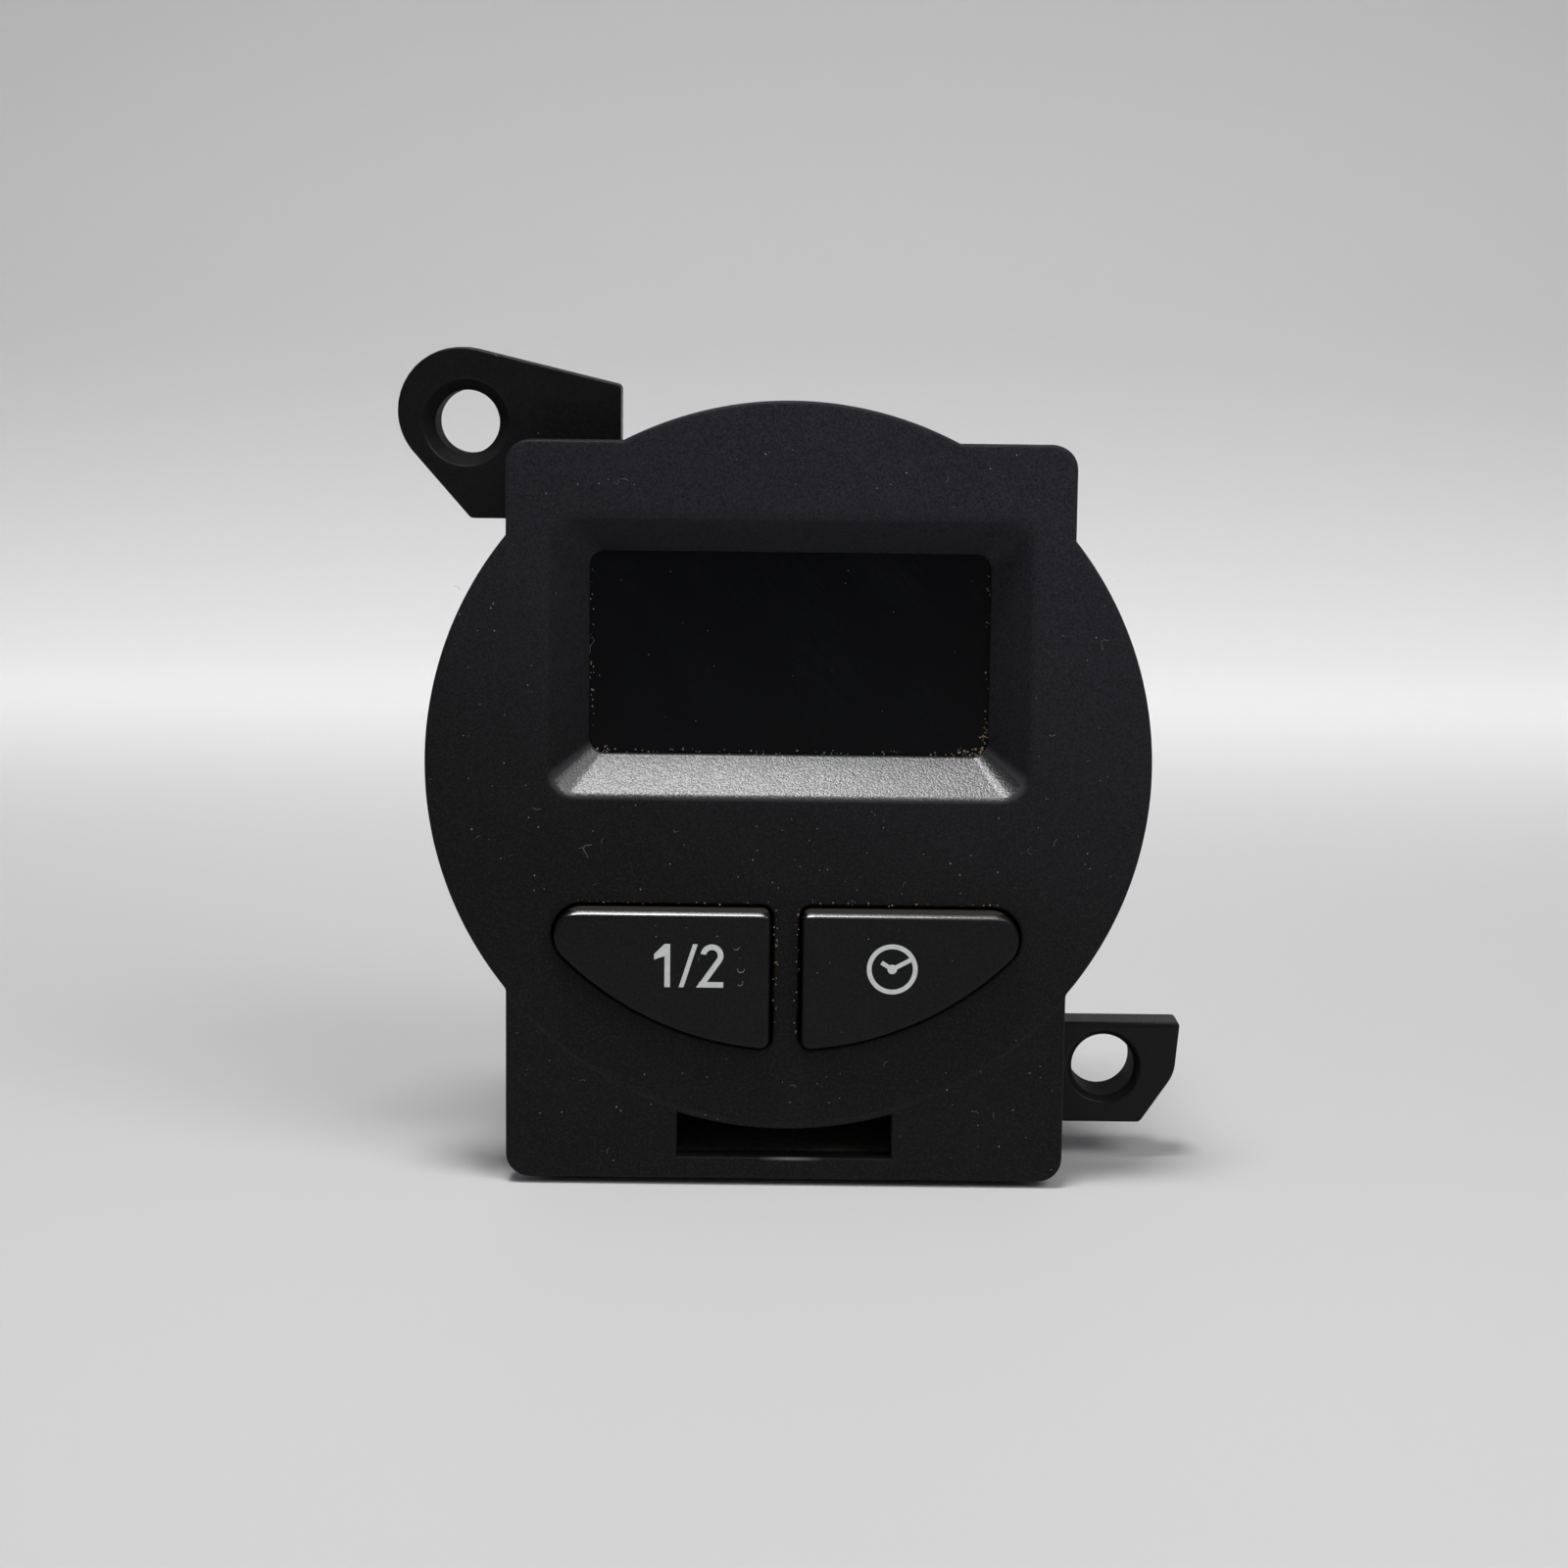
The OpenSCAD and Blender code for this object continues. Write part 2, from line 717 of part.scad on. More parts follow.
// A block that stands on the board, with pockets for the cell, the strips and the light
module display_carrier() {
    pocket = [for (v = rear_glass) v + 2 * fit];
    color([0.90, 0.90, 0.88]) in_place() difference() {
        panel(carrier, cell_y, board_y - cell_y);
        panel([for (v = front_glass) v + 2 * fit], cell_y - over, film_t + glass_t + over);
        panel(pocket, rear_glass_y - skin, chamber_y - rear_glass_y + skin);
        panel([for (v = pocket) v - 2 * chamber_rim], chamber_y - skin, chamber_d + over);
        for (side = [-1, 1])
            slab(rear_glass_y - skin, board_y) translate([0, window_z + side * strip_z])
                square([rear_glass[0] - 2 * strip_side_gap + 2 * slide_fit, strip_h + 2 * slide_fit],
                       center = true);
    }
}

module contact_strip(side) {
    slab(rear_glass_y, board_y - rear_glass_y) translate([0, window_z + side * strip_z])
        square([rear_glass[0] - 2 * strip_side_gap, strip_h], center = true);
}

module upper_contact_strip() {
    color([0.85, 0.55, 0.62]) in_place() contact_strip(1);
}

module lower_contact_strip() {
    color([0.85, 0.55, 0.62]) in_place() contact_strip(-1);
}

// Lamps in the light chamber, each a white case with a cup
module backlight_leds() {
    lamps = 4;
    spacing = (rear_glass[0] - 2 * chamber_rim) / lamps;
    color([0.95, 0.93, 0.80]) in_place()
        for (i = [0 : lamps - 1]) translate([(i - (lamps - 1) / 2) * spacing, 0, window_z])
            difference() {
                slab(board_y - lamp_t, lamp_t) square(lamp, center = true);
                slab(board_y - lamp_t - over, lamp_cup_depth + over) circle(d = lamp_cup_d);
            }
}

// Board and its parts

module board_holes() {
    for (side = [-1, 1]) {
        for (z = [upper_screw_z, lower_screw_z]) translate([side * boss_x, z])
            circle(d = screw_d + 4 * fit);
        translate([side * boss_x, peg_z]) circle(d = peg_d + 2 * fit);
    }
}

module pin_places() {
    for (i = [0 : pins_per_row - 1], row = [-1, 1])
        translate([i * pin_pitch - pin_span / 2, row * pin_pitch / 2 - connector_z]) children();
}

module circuit_board() {
    color([0.10, 0.34, 0.20]) in_place() slab(board_y, board_t) difference() {
        translate([0, housing_mid_z]) rounded_rect(board, 1);
        board_holes();
        pin_places() square(pin_w + 2 * fit, center = true);
    }
}

// A flat chip with bent legs on its four sides
module microcontroller() {
    lift = 0.15;
    legs = 11;
    leg = [0.36, 1.1];
    leg_t = 0.15;
    pitch = 0.8;
    color([0.12, 0.12, 0.13]) in_place() translate([chip_x, board_back_y, chip_z]) {
        slab(lift, chip_body_t) difference() {
            rounded_rect([chip_body, chip_body], 0.3);
            translate([chip_body / 2 - 1, chip_body / 2 - 1]) circle(d = 0.8);
        }
        for (turn = [0 : 90 : 270], i = [0 : legs - 1]) rotate([0, turn, 0])
            translate([(i - (legs - 1) / 2) * pitch - leg[0] / 2, 0, chip_body / 2]) {
                translate([0, 0.7, -0.3]) cube([leg[0], leg_t, 0.6]);
                translate([0, 0, 0.3 - leg_t]) cube([leg[0], 0.7 + leg_t, leg_t]);
                translate([0, 0, 0.3 - leg_t]) cube([leg[0], leg_t, leg[1] - 0.3]);
            }
    }
}

// A metal can with round ends on a flat foot
module quartz_crystal() {
    foot_t = 0.5;
    foot_w = 0.3;
    color([0.75, 0.76, 0.78]) in_place() translate([crystal_x, board_back_y, chip_z]) {
        slab(0, foot_t) rounded_rect(crystal, crystal[0] / 2 - 0.1);
        slab(foot_t - skin, crystal_t - foot_t + skin)
            rounded_rect([for (v = crystal) v - 2 * foot_w], crystal[0] / 2 - foot_w - 0.1);
    }
}

module voltage_regulator() {
    leg_z = (regulator[1] + regulator_leg[1]) / 2 - 0.15;
    color([0.14, 0.14, 0.15]) in_place() translate([regulator_x, board_back_y, power_z]) {
        slab(regulator_lift, regulator_t - regulator_lift) square(regulator, center = true);
        slab(0, regulator_leg_t) translate([0, leg_z]) square(regulator_tab, center = true);
        slab(0, regulator_leg_t) for (i = [-1 : 1]) translate([i * regulator_pitch, -leg_z])
            square(regulator_leg, center = true);
    }
}

// An upright can on a square base
module supply_capacitor() {
    base_t = 0.9;
    color([0.70, 0.71, 0.73]) in_place() translate([can_x, board_back_y, power_z]) {
        slab(0, base_t) rounded_rect([can_base, can_base], 0.8);
        slab(base_t - skin, can_h - base_t + skin) circle(d = can_d);
    }
}

module chip(size, t) {
    slab(0, t) square(size, center = true);
}

module chip_resistors() {
    color([0.10, 0.10, 0.11]) in_place()
        for (i = [0 : 4], row = [0, 1])
            translate([resistor_x + i * resistor_step[0], board_back_y,
                       resistor_z + row * resistor_step[1]]) chip(resistor, resistor_t);
}

module chip_capacitors() {
    color([0.62, 0.50, 0.38]) in_place()
        for (i = [0 : 3]) translate([capacitor_x, board_back_y, capacitor_z + i * capacitor_step])
            chip(capacitor, capacitor_t);
}

module button_leds() {
    color([0.95, 0.93, 0.80]) in_place()
        for (side = [-1, 1]) translate([side * key_lamp_x, board_y - key_lamp_t, key_lamp_z])
            chip(key_lamp, key_lamp_t);
}

module board_screws() {
    color([0.66, 0.67, 0.69]) in_place()
        for (side = [-1, 1], z = [upper_screw_z, lower_screw_z]) translate([side * boss_x, 0, z])
            difference() {
                union() {
                    slab(board_y - head_t, head_t) circle(d = head_d);
                    slab(board_y - skin, screw_len + skin) circle(d = screw_d);
                }
                slab(board_y - head_t - over, 0.7 + over) {
                    square([2.2, 0.5], center = true);
                    square([0.5, 2.2], center = true);
                }
            }
}

// Connector

// A box with a floor; two slots in its upper wall key the plug
module connector_socket() {
    color([0.12, 0.12, 0.13]) in_place() difference() {
        slab(board_back_y, socket_rim_y - board_back_y) translate([0, -connector_z])
            rounded_rect(socket, 0.5);
        slab(board_back_y + socket_floor_t, socket_rim_y) translate([0, -connector_z])
            rounded_rect(socket_room, 0.3);
        slab(board_back_y - over, socket_floor_t + 2 * over)
            pin_places() square(pin_w + 2 * print_fit, center = true);
        for (side = [-1, 1]) slab(rear_y + fit, socket_rim_y)
            translate([side * socket_room[0] / 4, socket[1] / 2 - connector_z])
                square([key_slot_w, 4 * socket_wall], center = true);
    }
}

module connector_pins() {
    tail = 0.9;
    color([0.80, 0.70, 0.42]) in_place()
        slab(board_y - tail, pin_tip_y - board_y + tail)
            pin_places() square(pin_w, center = true);
}

// Housing

// Outline of the upper ear about its hole: a round nose, a falling top edge and a slanted side
module upper_ear_outline() {
    fall = 13.2;
    slant = 48.7;
    side = upper_ear_reach;
    top = side + 0.3;
    under = side - 0.65;
    foot = -7;
    steepness = cos(slant) / cos(fall);
    function top_at(x) = (top - x * sin(fall)) / cos(fall);
    function slant_at(x) = (-under - x * sin(slant)) / cos(slant);
    foot_x = (-under - foot * cos(slant)) / sin(slant);
    // One circle touches the top edge, the side and the slant
    nose_r = (under - side * sin(slant) + steepness * (top + side * sin(fall)))
        / (1 - sin(slant) + steepness * (1 + sin(fall)));
    rounded_outline([
        [upper_ear_right, foot, 0], [upper_ear_right, top_at(upper_ear_right), 0.4],
        [-side, top_at(-side), nose_r], [-side, slant_at(-side), nose_r], [foot_x, foot, 0.5]
    ]);
}

// Outline of the lower ear about its hole
module lower_ear_outline() {
    root = -(lower_hole_out + wall / 2);
    side = lower_ear_reach;
    rounded_outline([
        [root, -4.3, 0], [side / 2, -4.3, 0.5], [side - 0.35, -0.6, 3], [side, 3.4, 0.2],
        [root, 3.4, 0]
    ]);
}

// One ear with the collar behind its hole
module ear_body(x, z) {
    translate([x, 0, z]) {
        slab(ear_y, ear_t) children();
        slab(ear_y + ear_t - skin, collar_t + skin) intersection() {
            children();
            circle(d = collar_d);
        }
    }
}

// The hole of an ear with its countersink, which opens to the front
module ear_hole(x, z, sink) {
    rod(x, z, ear_y - over, ear_t + collar_t + 2 * over, ear_hole_d);
    translate([x, ear_y, z]) rotate([-90, 0, 0]) translate([0, 0, -skin])
        cylinder(h = sink + skin, d1 = ear_hole_d + 2 * sink + 2 * skin, d2 = ear_hole_d);
}

// A three-cornered rib behind an ear, against the wall on +X
module ear_rib(reach, depth, t) {
    linear_extrude(t, center = true) polygon([
        [-wall / 2, ear_y + ear_t - skin], [reach, ear_y + ear_t - skin], [0, ear_y + ear_t + depth],
        [-wall / 2, ear_y + ear_t + depth]
    ]);
}

module housing_outline(shrink = 0) {
    translate([0, housing_mid_z])
        rounded_rect([housing_w - 2 * shrink, housing_h - 2 * shrink], housing_corner_r - shrink);
}

module rear_housing() {
    rib_t = 1.5;
    rib_depth = 6;
    pilot_d = screw_d + fit;
    color([0.09, 0.09, 0.10]) in_place() difference() {
        union() {
            difference() {
                union() {
                    slab(face_t, rear_y - face_t) housing_outline();
                    ear_body(-upper_hole_x, upper_hole_z) upper_ear_outline();
                    ear_body(lower_hole_x, -lower_hole_z) lower_ear_outline();
                    translate([-housing_w / 2, 0, upper_hole_z - 5.9]) on_side(-1)
                        ear_rib(4, rib_depth, rib_t);
                    translate([upper_ear_right - 1 - upper_hole_x, 0, housing_top])
                        rotate([0, -90, 0]) ear_rib(4, rib_depth, rib_t);
                    translate([housing_w / 2, 0, -lower_hole_z - 3.3]) ear_rib(4, rib_depth, rib_t);
                }
                slab(face_t - over, rear_inner_y - face_t + over) housing_outline(wall);
            }
            for (side = [-1, 1]) {
                for (z = [upper_screw_z, lower_screw_z])
                    rod(side * boss_x, z, board_back_y, rear_inner_y - board_back_y + skin,
                        pilot_d + 2 * boss_wall);
                rod(side * boss_x, peg_z, board_back_y, rear_inner_y - board_back_y + skin,
                    peg_d + 2 * boss_wall);
                rod(side * boss_x, peg_z, board_y + 0.2, board_t, peg_d);
            }
        }
        for (side = [-1, 1], z = [upper_screw_z, lower_screw_z])
            rod(side * boss_x, z, board_back_y - over, screw_len - board_t + 2 * over, pilot_d);
        at_snaps() translate([-wall, hook_y - slide_fit, -arm_w / 2 - slide_fit])
            cube([3 * wall, latch_window_h, arm_w + 2 * slide_fit]);
        slab(rear_inner_y - over, wall + 2 * over) translate([0, -connector_z])
            rounded_rect([for (v = socket) v + 4 * fit], 0.6);
        slab(rear_y - label_bed_t, label_bed_t + over) translate([0, label_bed_z])
            rounded_rect(label_bed, 1);
        ear_hole(-upper_hole_x, upper_hole_z, countersink);
        ear_hole(lower_hole_x, -lower_hole_z, countersink / 2);
    }
}

bezel();
display_window();
window_gasket();
front_polariser();
lcd_front_glass();
lcd_rear_glass();
rear_polariser();
light_diffuser();
display_carrier();
upper_contact_strip();
lower_contact_strip();
backlight_leds();
circuit_board();
microcontroller();
quartz_crystal();
voltage_regulator();
supply_capacitor();
chip_resistors();
chip_capacitors();
button_leds();
contact_pads();
keypad_mat();
left_key_dome();
right_key_dome();
left_contact_pill();
right_contact_pill();
left_button_cap();
right_button_cap();
left_symbol();
right_symbol();
rear_housing();
connector_socket();
connector_pins();
board_screws();
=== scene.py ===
"""The looks of an on-board computer display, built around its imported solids."""
from math import acos, asin, atan2, cos, degrees, hypot, radians, sin, sqrt, tan

import bmesh
import bpy
import numpy as np
from mathutils import Matrix, Vector


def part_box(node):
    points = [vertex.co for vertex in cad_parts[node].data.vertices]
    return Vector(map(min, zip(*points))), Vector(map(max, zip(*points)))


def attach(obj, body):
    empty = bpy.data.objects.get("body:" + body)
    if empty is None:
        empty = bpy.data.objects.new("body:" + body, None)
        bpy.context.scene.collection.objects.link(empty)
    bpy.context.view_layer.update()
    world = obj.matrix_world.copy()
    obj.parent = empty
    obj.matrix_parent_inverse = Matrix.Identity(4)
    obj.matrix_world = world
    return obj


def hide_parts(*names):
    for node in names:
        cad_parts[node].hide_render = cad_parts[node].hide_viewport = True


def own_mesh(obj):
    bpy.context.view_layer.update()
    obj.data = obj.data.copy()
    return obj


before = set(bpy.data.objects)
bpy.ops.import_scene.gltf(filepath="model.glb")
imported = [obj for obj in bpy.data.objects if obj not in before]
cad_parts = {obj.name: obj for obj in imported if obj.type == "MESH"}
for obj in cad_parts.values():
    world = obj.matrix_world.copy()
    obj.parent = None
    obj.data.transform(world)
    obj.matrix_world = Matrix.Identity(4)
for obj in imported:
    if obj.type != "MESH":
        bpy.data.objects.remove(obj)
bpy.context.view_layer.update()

# Rear housing
# The rear housing is one moulding in black plastic: a deep tray with a fixing ear at two of its
# corners. The tool leaves every outer edge slightly round, a spark texture on the walls and the
# round marks of its ejector pins at the back. Workshop dust lies on whatever looks up, and the
# pale layer on the floor inside is painted light as well as dust.

mm = 0.001
housing_half, housing_top, housing_foot = 19.2, 22.1, -30.7
housing_front, housing_floor, housing_back = 2.2, 22.5, 24.0
housing_wall, housing_corner = 1.5, 2.5
face_low, face_high = (np.array(corner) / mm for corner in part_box("bezel"))
origin = face_x, face_y, centre_z = ((face_low[0] + face_high[0]) / 2, face_low[1],
                                     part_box("rear_housing")[0][2] / mm - housing_foot)
# Each of these turns a distance in mm from the disc's centre on the face into metres.
at_x, at_y, at_z = (lambda place, start=start: (start + place) * mm for start in origin)

ear_front, ear_back, collar_back = 9.0, 12.2, 14.1
ear_hole_r, collar_r, collar_cut = 2.35, 4.0, 2.95
upper_hole, lower_hole = (-23.8, 24.0), (24.0, -23.6)
upper_sink, lower_sink = 0.85, 0.425
socket_size, socket_z, socket_play = (19.4, 10.44), -23.4, 0.4
side_snap_z, end_snap_x = -6.7, 12.4
label_size, label_z, label_depth = (27.65, 14.26), 8.47, 0.4
mark_places = ((-15.2, 18.7), (15.2, 18.7), (-14.6, -5.5), (14.6, -5.5), (0, -9.6))
mark_r, mark_depth = 1.5, 0.12
screw_x, screw_levels, peg_z = 14.4, (-6.7, -25.6), 17.2
post_r, post_front, pilot_r, pilot_back = 2.5, 13.6, 1.0, 20.2
peg_r, peg_tip_r, peg_tip_front = 2.4, 0.9, 12.2
snap_size, snap_y, side_cut, end_cut = (2.1, 4.3), 6.5, (16.0, 21.0), 3
housing_black = (0.0019, 0.0017, 0.0021)
housing_dust = (0.085, 0.08, 0.072)


def arc(centre, radius, start, turn, steps):
    """Points along an arc that starts at one angle and goes through a turn, in degrees."""
    angles = np.radians(start + turn * np.linspace(0, 1, steps + 1))
    return np.array(centre) + radius * np.column_stack((np.cos(angles), np.sin(angles)))


def circle(radius, centre=(0, 0), steps=48):
    return arc(centre, radius, 0, 360, steps)[:-1]


def rounded_rect(width, height, radius, centre=(0, 0), steps=8):
    """The anticlockwise outline of a rectangle with round corners."""
    half_w, half_h = width / 2 - radius, height / 2 - radius
    return np.vstack([arc((centre[0] + x * half_w, centre[1] + z * half_h), radius, start, 90, steps)
                      for x, z, start in ((1, 1, 0), (-1, 1, 90), (-1, -1, 180), (1, -1, 270))])


def rounded_outline(points, steps=12):
    """An anticlockwise outline through (x, z, corner radius) points."""
    outline = []
    for i, (x, z, radius) in enumerate(points):
        here = np.array((x, z))
        back, ahead = (np.array(points[(i + k) % len(points)][:2]) - here for k in (-1, 1))
        back, ahead = back / np.hypot(*back), ahead / np.hypot(*ahead)
        if radius == 0:
            outline.append(here[None])
            continue
        half = acos(back @ ahead) / 2
        middle = (back + ahead) / np.hypot(*(back + ahead)) * radius / sin(half)
        first = back * radius / tan(half) - middle
        bend = 1 if ahead[0] * back[1] - ahead[1] * back[0] > 0 else -1
        outline.append(arc(here + middle, radius, degrees(atan2(first[1], first[0])),
                           bend * (180 - degrees(2 * half)), steps))
    outline = np.vstack(outline)
    return outline[np.hypot(*(np.roll(outline, -1, 0) - outline).T) > 1e-4]


def grown(outline, by):
    """The outline moved outwards by a distance, point for point."""
    ahead = np.roll(outline, -1, 0) - outline
    normal = np.column_stack((ahead[:, 1], -ahead[:, 0]))
    normal /= np.hypot(*normal.T)[:, None]
    before = np.roll(normal, 1, 0)
    return outline + by * (normal + before) / (1 + (normal * before).sum(1))[:, None]


def straight(u, v, w):
    """The usual way to lay out a ring: across, up, and the depth behind the face."""
    return u, w, v


def ring(outline, depth, to=straight):
    """An outline as a ring of places in metres, at a depth in mm."""
    return (np.column_stack(to(outline[:, 0], outline[:, 1], np.full(len(outline), depth))) + origin) * mm


def softened(places, *reaches, steps=4):
    """Rings at (outline, depth) places. Each fold is rounded as far as its own reach in mm."""
    rings = [ring(*place) for place in places]
    result = [rings[0]]
    for before, here, after, reach in zip(rings, rings[1:], rings[2:], reaches):
        if reach == 0:
            result.append(here)
            continue
        first, last = (here + way * min(0.5, reach * mm / np.linalg.norm(way, axis=1).mean())
                       for way in (before - here, after - here))
        for t in np.linspace(0, 1, steps + 1):
            result.append((1 - t) ** 2 * first + 2 * t * (1 - t) * here + t ** 2 * last)
    return result + [rings[-1]]


def slab(outline, front, back, inset, soft, steps=4, to=straight):
    """The rings of a plate with soft rims. A hole's rings have a negative inset."""
    inner = grown(outline, -inset)
    return softened([(inner, front, to), (outline, front, to), (outline, back, to), (inner, back, to)],
                    soft, soft, steps=steps)


def add_solid(mesh, wall, holes=(), front_pits=(), back_pits=()):
    """Adds a closed body: its wall's rings from front to back, its holes, and pits in its ends."""
    front, back = [], []
    parts = [(wall, front, back)] + [(rings, front, back) for rings in holes]
    parts += [(rings, front, None) for rings in front_pits]
    parts += [(rings, back, None) for rings in back_pits]
    ends = [front, back]
    for rings, first, last in parts:
        rows = [[mesh.verts.new(place) for place in row] for row in rings]
        for a, b in zip(rows, rows[1:]):
            for k in range(len(a)):
                mesh.faces.new((a[k - 1], a[k], b[k], b[k - 1]))
        loops = [[mesh.edges.get((row[k - 1], row[k])) for k in range(len(row))]
                 for row in (rows[0], rows[-1])]
        first += loops[0]
        if last is None:
            ends.append(loops[1])
        else:
            last += loops[1]
    for edges in ends:
        bmesh.ops.triangle_fill(mesh, use_beauty=True, edges=edges)


def solid(*rings, **pits):
    """A new mesh of one closed body."""
    mesh = bmesh.new()
    add_solid(mesh, *rings, **pits)
    return mesh


def add_bar(mesh, outline, low, high, to, soft=0.1):
    """Adds a bar of one outline from low to high, in the directions that to gives."""
    add_solid(mesh, slab(outline, low, high, soft, soft, 2, to))


def new_object(name, data):
    """A new object in the scene, at the origin."""
    made = bpy.data.objects.new(name, data)
    bpy.context.scene.collection.objects.link(made)
    return made


def to_object(mesh, name):
    """A new object that holds the mesh, with its faces turned outwards."""
    bmesh.ops.remove_doubles(mesh, verts=mesh.verts, dist=1e-7)
    bmesh.ops.recalc_face_normals(mesh, faces=mesh.faces)
    data = bpy.data.meshes.new(name)
    mesh.to_mesh(data)
    mesh.free()
    return new_object(name, data)


def baked(piece):
    """Applies a piece's modifiers, so that a plain mesh is left."""
    graph = bpy.context.evaluated_depsgraph_get()
    data = bpy.data.meshes.new_from_object(piece.evaluated_get(graph))
    piece.modifiers.clear()
    piece.data = data
    return piece


def smooth(piece, sharp=32):
    """Smooth shading, with flat faces kept flat and edges over sharp degrees kept crisp."""
    for face in piece.data.polygons:
        face.use_smooth = True
    piece.data.set_sharp_from_angle(angle=radians(sharp))
    weighted = piece.modifiers.new("weighted", "WEIGHTED_NORMAL")
    weighted.keep_sharp = True
    return baked(piece)


def cut_away(piece, cutter):
    """Cuts one closed mesh out of a piece, and removes the cutter."""
    cut = piece.modifiers.new("cut", "BOOLEAN")
    cut.operation, cut.solver, cut.object = "DIFFERENCE", "EXACT", cutter
    baked(piece)
    bpy.data.objects.remove(cutter)
    return piece


def paint(piece, *looks):
    """Gives a piece its materials, and nothing else."""
    piece.data.materials.clear()
    for look in looks:
        piece.data.materials.append(look.material)
    return piece


def place_piece(piece, body, slot, *nodes):
    """Hangs a finished piece on its body and hides the solids it stands for; the name of its finish, slot, is
    not used.
    """
    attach(piece, body)
    if nodes:
        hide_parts(*nodes)
    return piece


def make_piece(mesh, name, look, body, slot, *nodes, sharp=32):
    """Makes a piece of one material from a mesh, and places it."""
    return place_piece(smooth(paint(to_object(mesh, name), look), sharp), body, slot, *nodes)


def add(tree, kind, settings=None, wires=None, **inputs):
    """Adds one node. Settings are its own fields, inputs its sockets by name, wires by number."""
    made = tree.nodes.new(kind)
    for field, value in (settings or {}).items():
        setattr(made, field, value)
    named = {made.inputs[key.replace("_", " ")]: value for key, value in inputs.items()}
    numbered = {made.inputs[key]: value for key, value in (wires or {}).items()}
    for socket, value in {**named, **numbered}.items():
        if isinstance(value, bpy.types.NodeSocket):
            tree.links.new(value, socket)
        else:
            socket.default_value = value
    return made


class Look:
    """A material of one shader with cloudy colour and fine grain, and what is laid over it.

    Cloud, grain and depth are in mm: how wide the clouds and the grain are, and how deep the
    grain is. Share and gloss say by how much the clouds change the colour and the roughness.
    """

    def __init__(self, name, colour, roughness, specular=0.5, metallic=0.0, cloud=4.0, share=0.3,
                 gloss=0.08, grain=0.12, depth=0.006, detail=2.0, drawn=None):
        self.material = bpy.data.materials.new(name)
        self.material.use_nodes = True
        self.tree = self.material.node_tree
        self.shader = self.tree.nodes["Principled BSDF"]
        for socket, value in (("Base Color", (*colour, 1)), ("Roughness", roughness),
                              ("Specular IOR Level", specular), ("Metallic", metallic)):
            self.shader.inputs[socket].default_value = value
        if cloud:
            self.lay(self.patches(cloud, 4.0, 0.35, 0.7, roughness=0.6),
                     tuple(c * (1 + share) for c in self.current("Base Color")[:3]),
                     self.current("Roughness") + gloss)
        if grain:
            self.bump(self.noise(grain, detail, stretch=drawn), depth)

    def add(self, *kind, **inputs):
        return add(self.tree, *kind, **inputs)

    def coat(self, *nodes):
        """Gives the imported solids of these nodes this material."""
        for node in nodes:
            paint(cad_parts[node], self)

    def math(self, operation, *values):
        """The result of one sum on sockets or numbers."""
        return self.add("ShaderNodeMath", {"operation": operation}, dict(enumerate(values))).outputs[0]

    def over(self, value, limit):
        return self.math("GREATER_THAN", value, limit)

    def under(self, value, limit):
        return self.math("LESS_THAN", value, limit)

    def off(self, value, centre):
        """How far a value is from a centre, either way."""
        return self.math("ABSOLUTE", self.math("SUBTRACT", value, centre))

    def beyond(self, value, centre, half):
        """A mask of what lies more than half from a centre, both in mm."""
        return self.over(self.off(value, centre * mm), half * mm)

    def times(self, *masks):
        """The product of several masks."""
        result = masks[0]
        for mask in masks[1:]:
            result = self.math("MULTIPLY", result, mask)
        return result

    def remap(self, value, low, high, to_low=0.0, to_high=1.0):
        """A value carried from one range to another, and kept inside it."""
        return self.add("ShaderNodeMapRange", None,
                        {0: value, 1: low, 2: high, 3: to_low, 4: to_high}).outputs[0]

    def place(self):
        """The object coordinates, in metres."""
        return self.add("ShaderNodeTexCoord").outputs["Object"]

    def place_parts(self):
        """The object coordinates as x, y and z, in metres."""
        return self.add("ShaderNodeSeparateXYZ", Vector=self.place()).outputs

    def noise(self, size, detail=2.0, roughness=0.5, stretch=None, turn=(0, 0, 0)):
        """Soft noise with lumps about size across, turned and then drawn out where stretch says."""
        place = self.place()
        if stretch:
            place = self.add("ShaderNodeMapping", Vector=place, Rotation=turn).outputs[0]
            place = self.add("ShaderNodeMapping", Vector=place, Scale=stretch).outputs[0]
        return self.add("ShaderNodeTexNoise", Vector=place, Scale=1 / (size * mm), Detail=detail,
                        Roughness=roughness).outputs["Fac"]

    def patches(self, size, detail, low, high, to_low=0.0, to_high=1.0, **shape):
        """Noise from low to high, carried to another range: a mask of soft patches."""
        return self.remap(self.noise(size, detail, **shape), low, high, to_low, to_high)

    def cells(self, size):
        """A pattern of cells about size apart."""
        return self.add("ShaderNodeTexVoronoi", Vector=self.place(), Scale=1 / (size * mm)).outputs

    def specks(self, spacing, size, share):
        """A mask of small dots: size across, spacing apart, and only a share of them."""
        cells = self.cells(spacing)
        dot = self.remap(cells["Distance"], 0.5 * size / spacing, 0.3 * size / spacing)
        chance = self.add("ShaderNodeSeparateColor", Color=cells["Color"]).outputs[0]
        return self.times(dot, self.under(chance, share))

    def looks_up(self, start=0.55, full=0.85):
        """A mask of the faces that look up: where dust settles, and where some painted light is laid."""
        normal = self.add("ShaderNodeNewGeometry").outputs["Normal"]
        return self.remap(self.add("ShaderNodeSeparateXYZ", Vector=normal).outputs[2], start, full)

    def current(self, socket):
        """What feeds a socket now: the link that leads there, or else its plain value."""
        found = self.shader.inputs[socket]
        return found.links[0].from_socket if found.is_linked else found.default_value

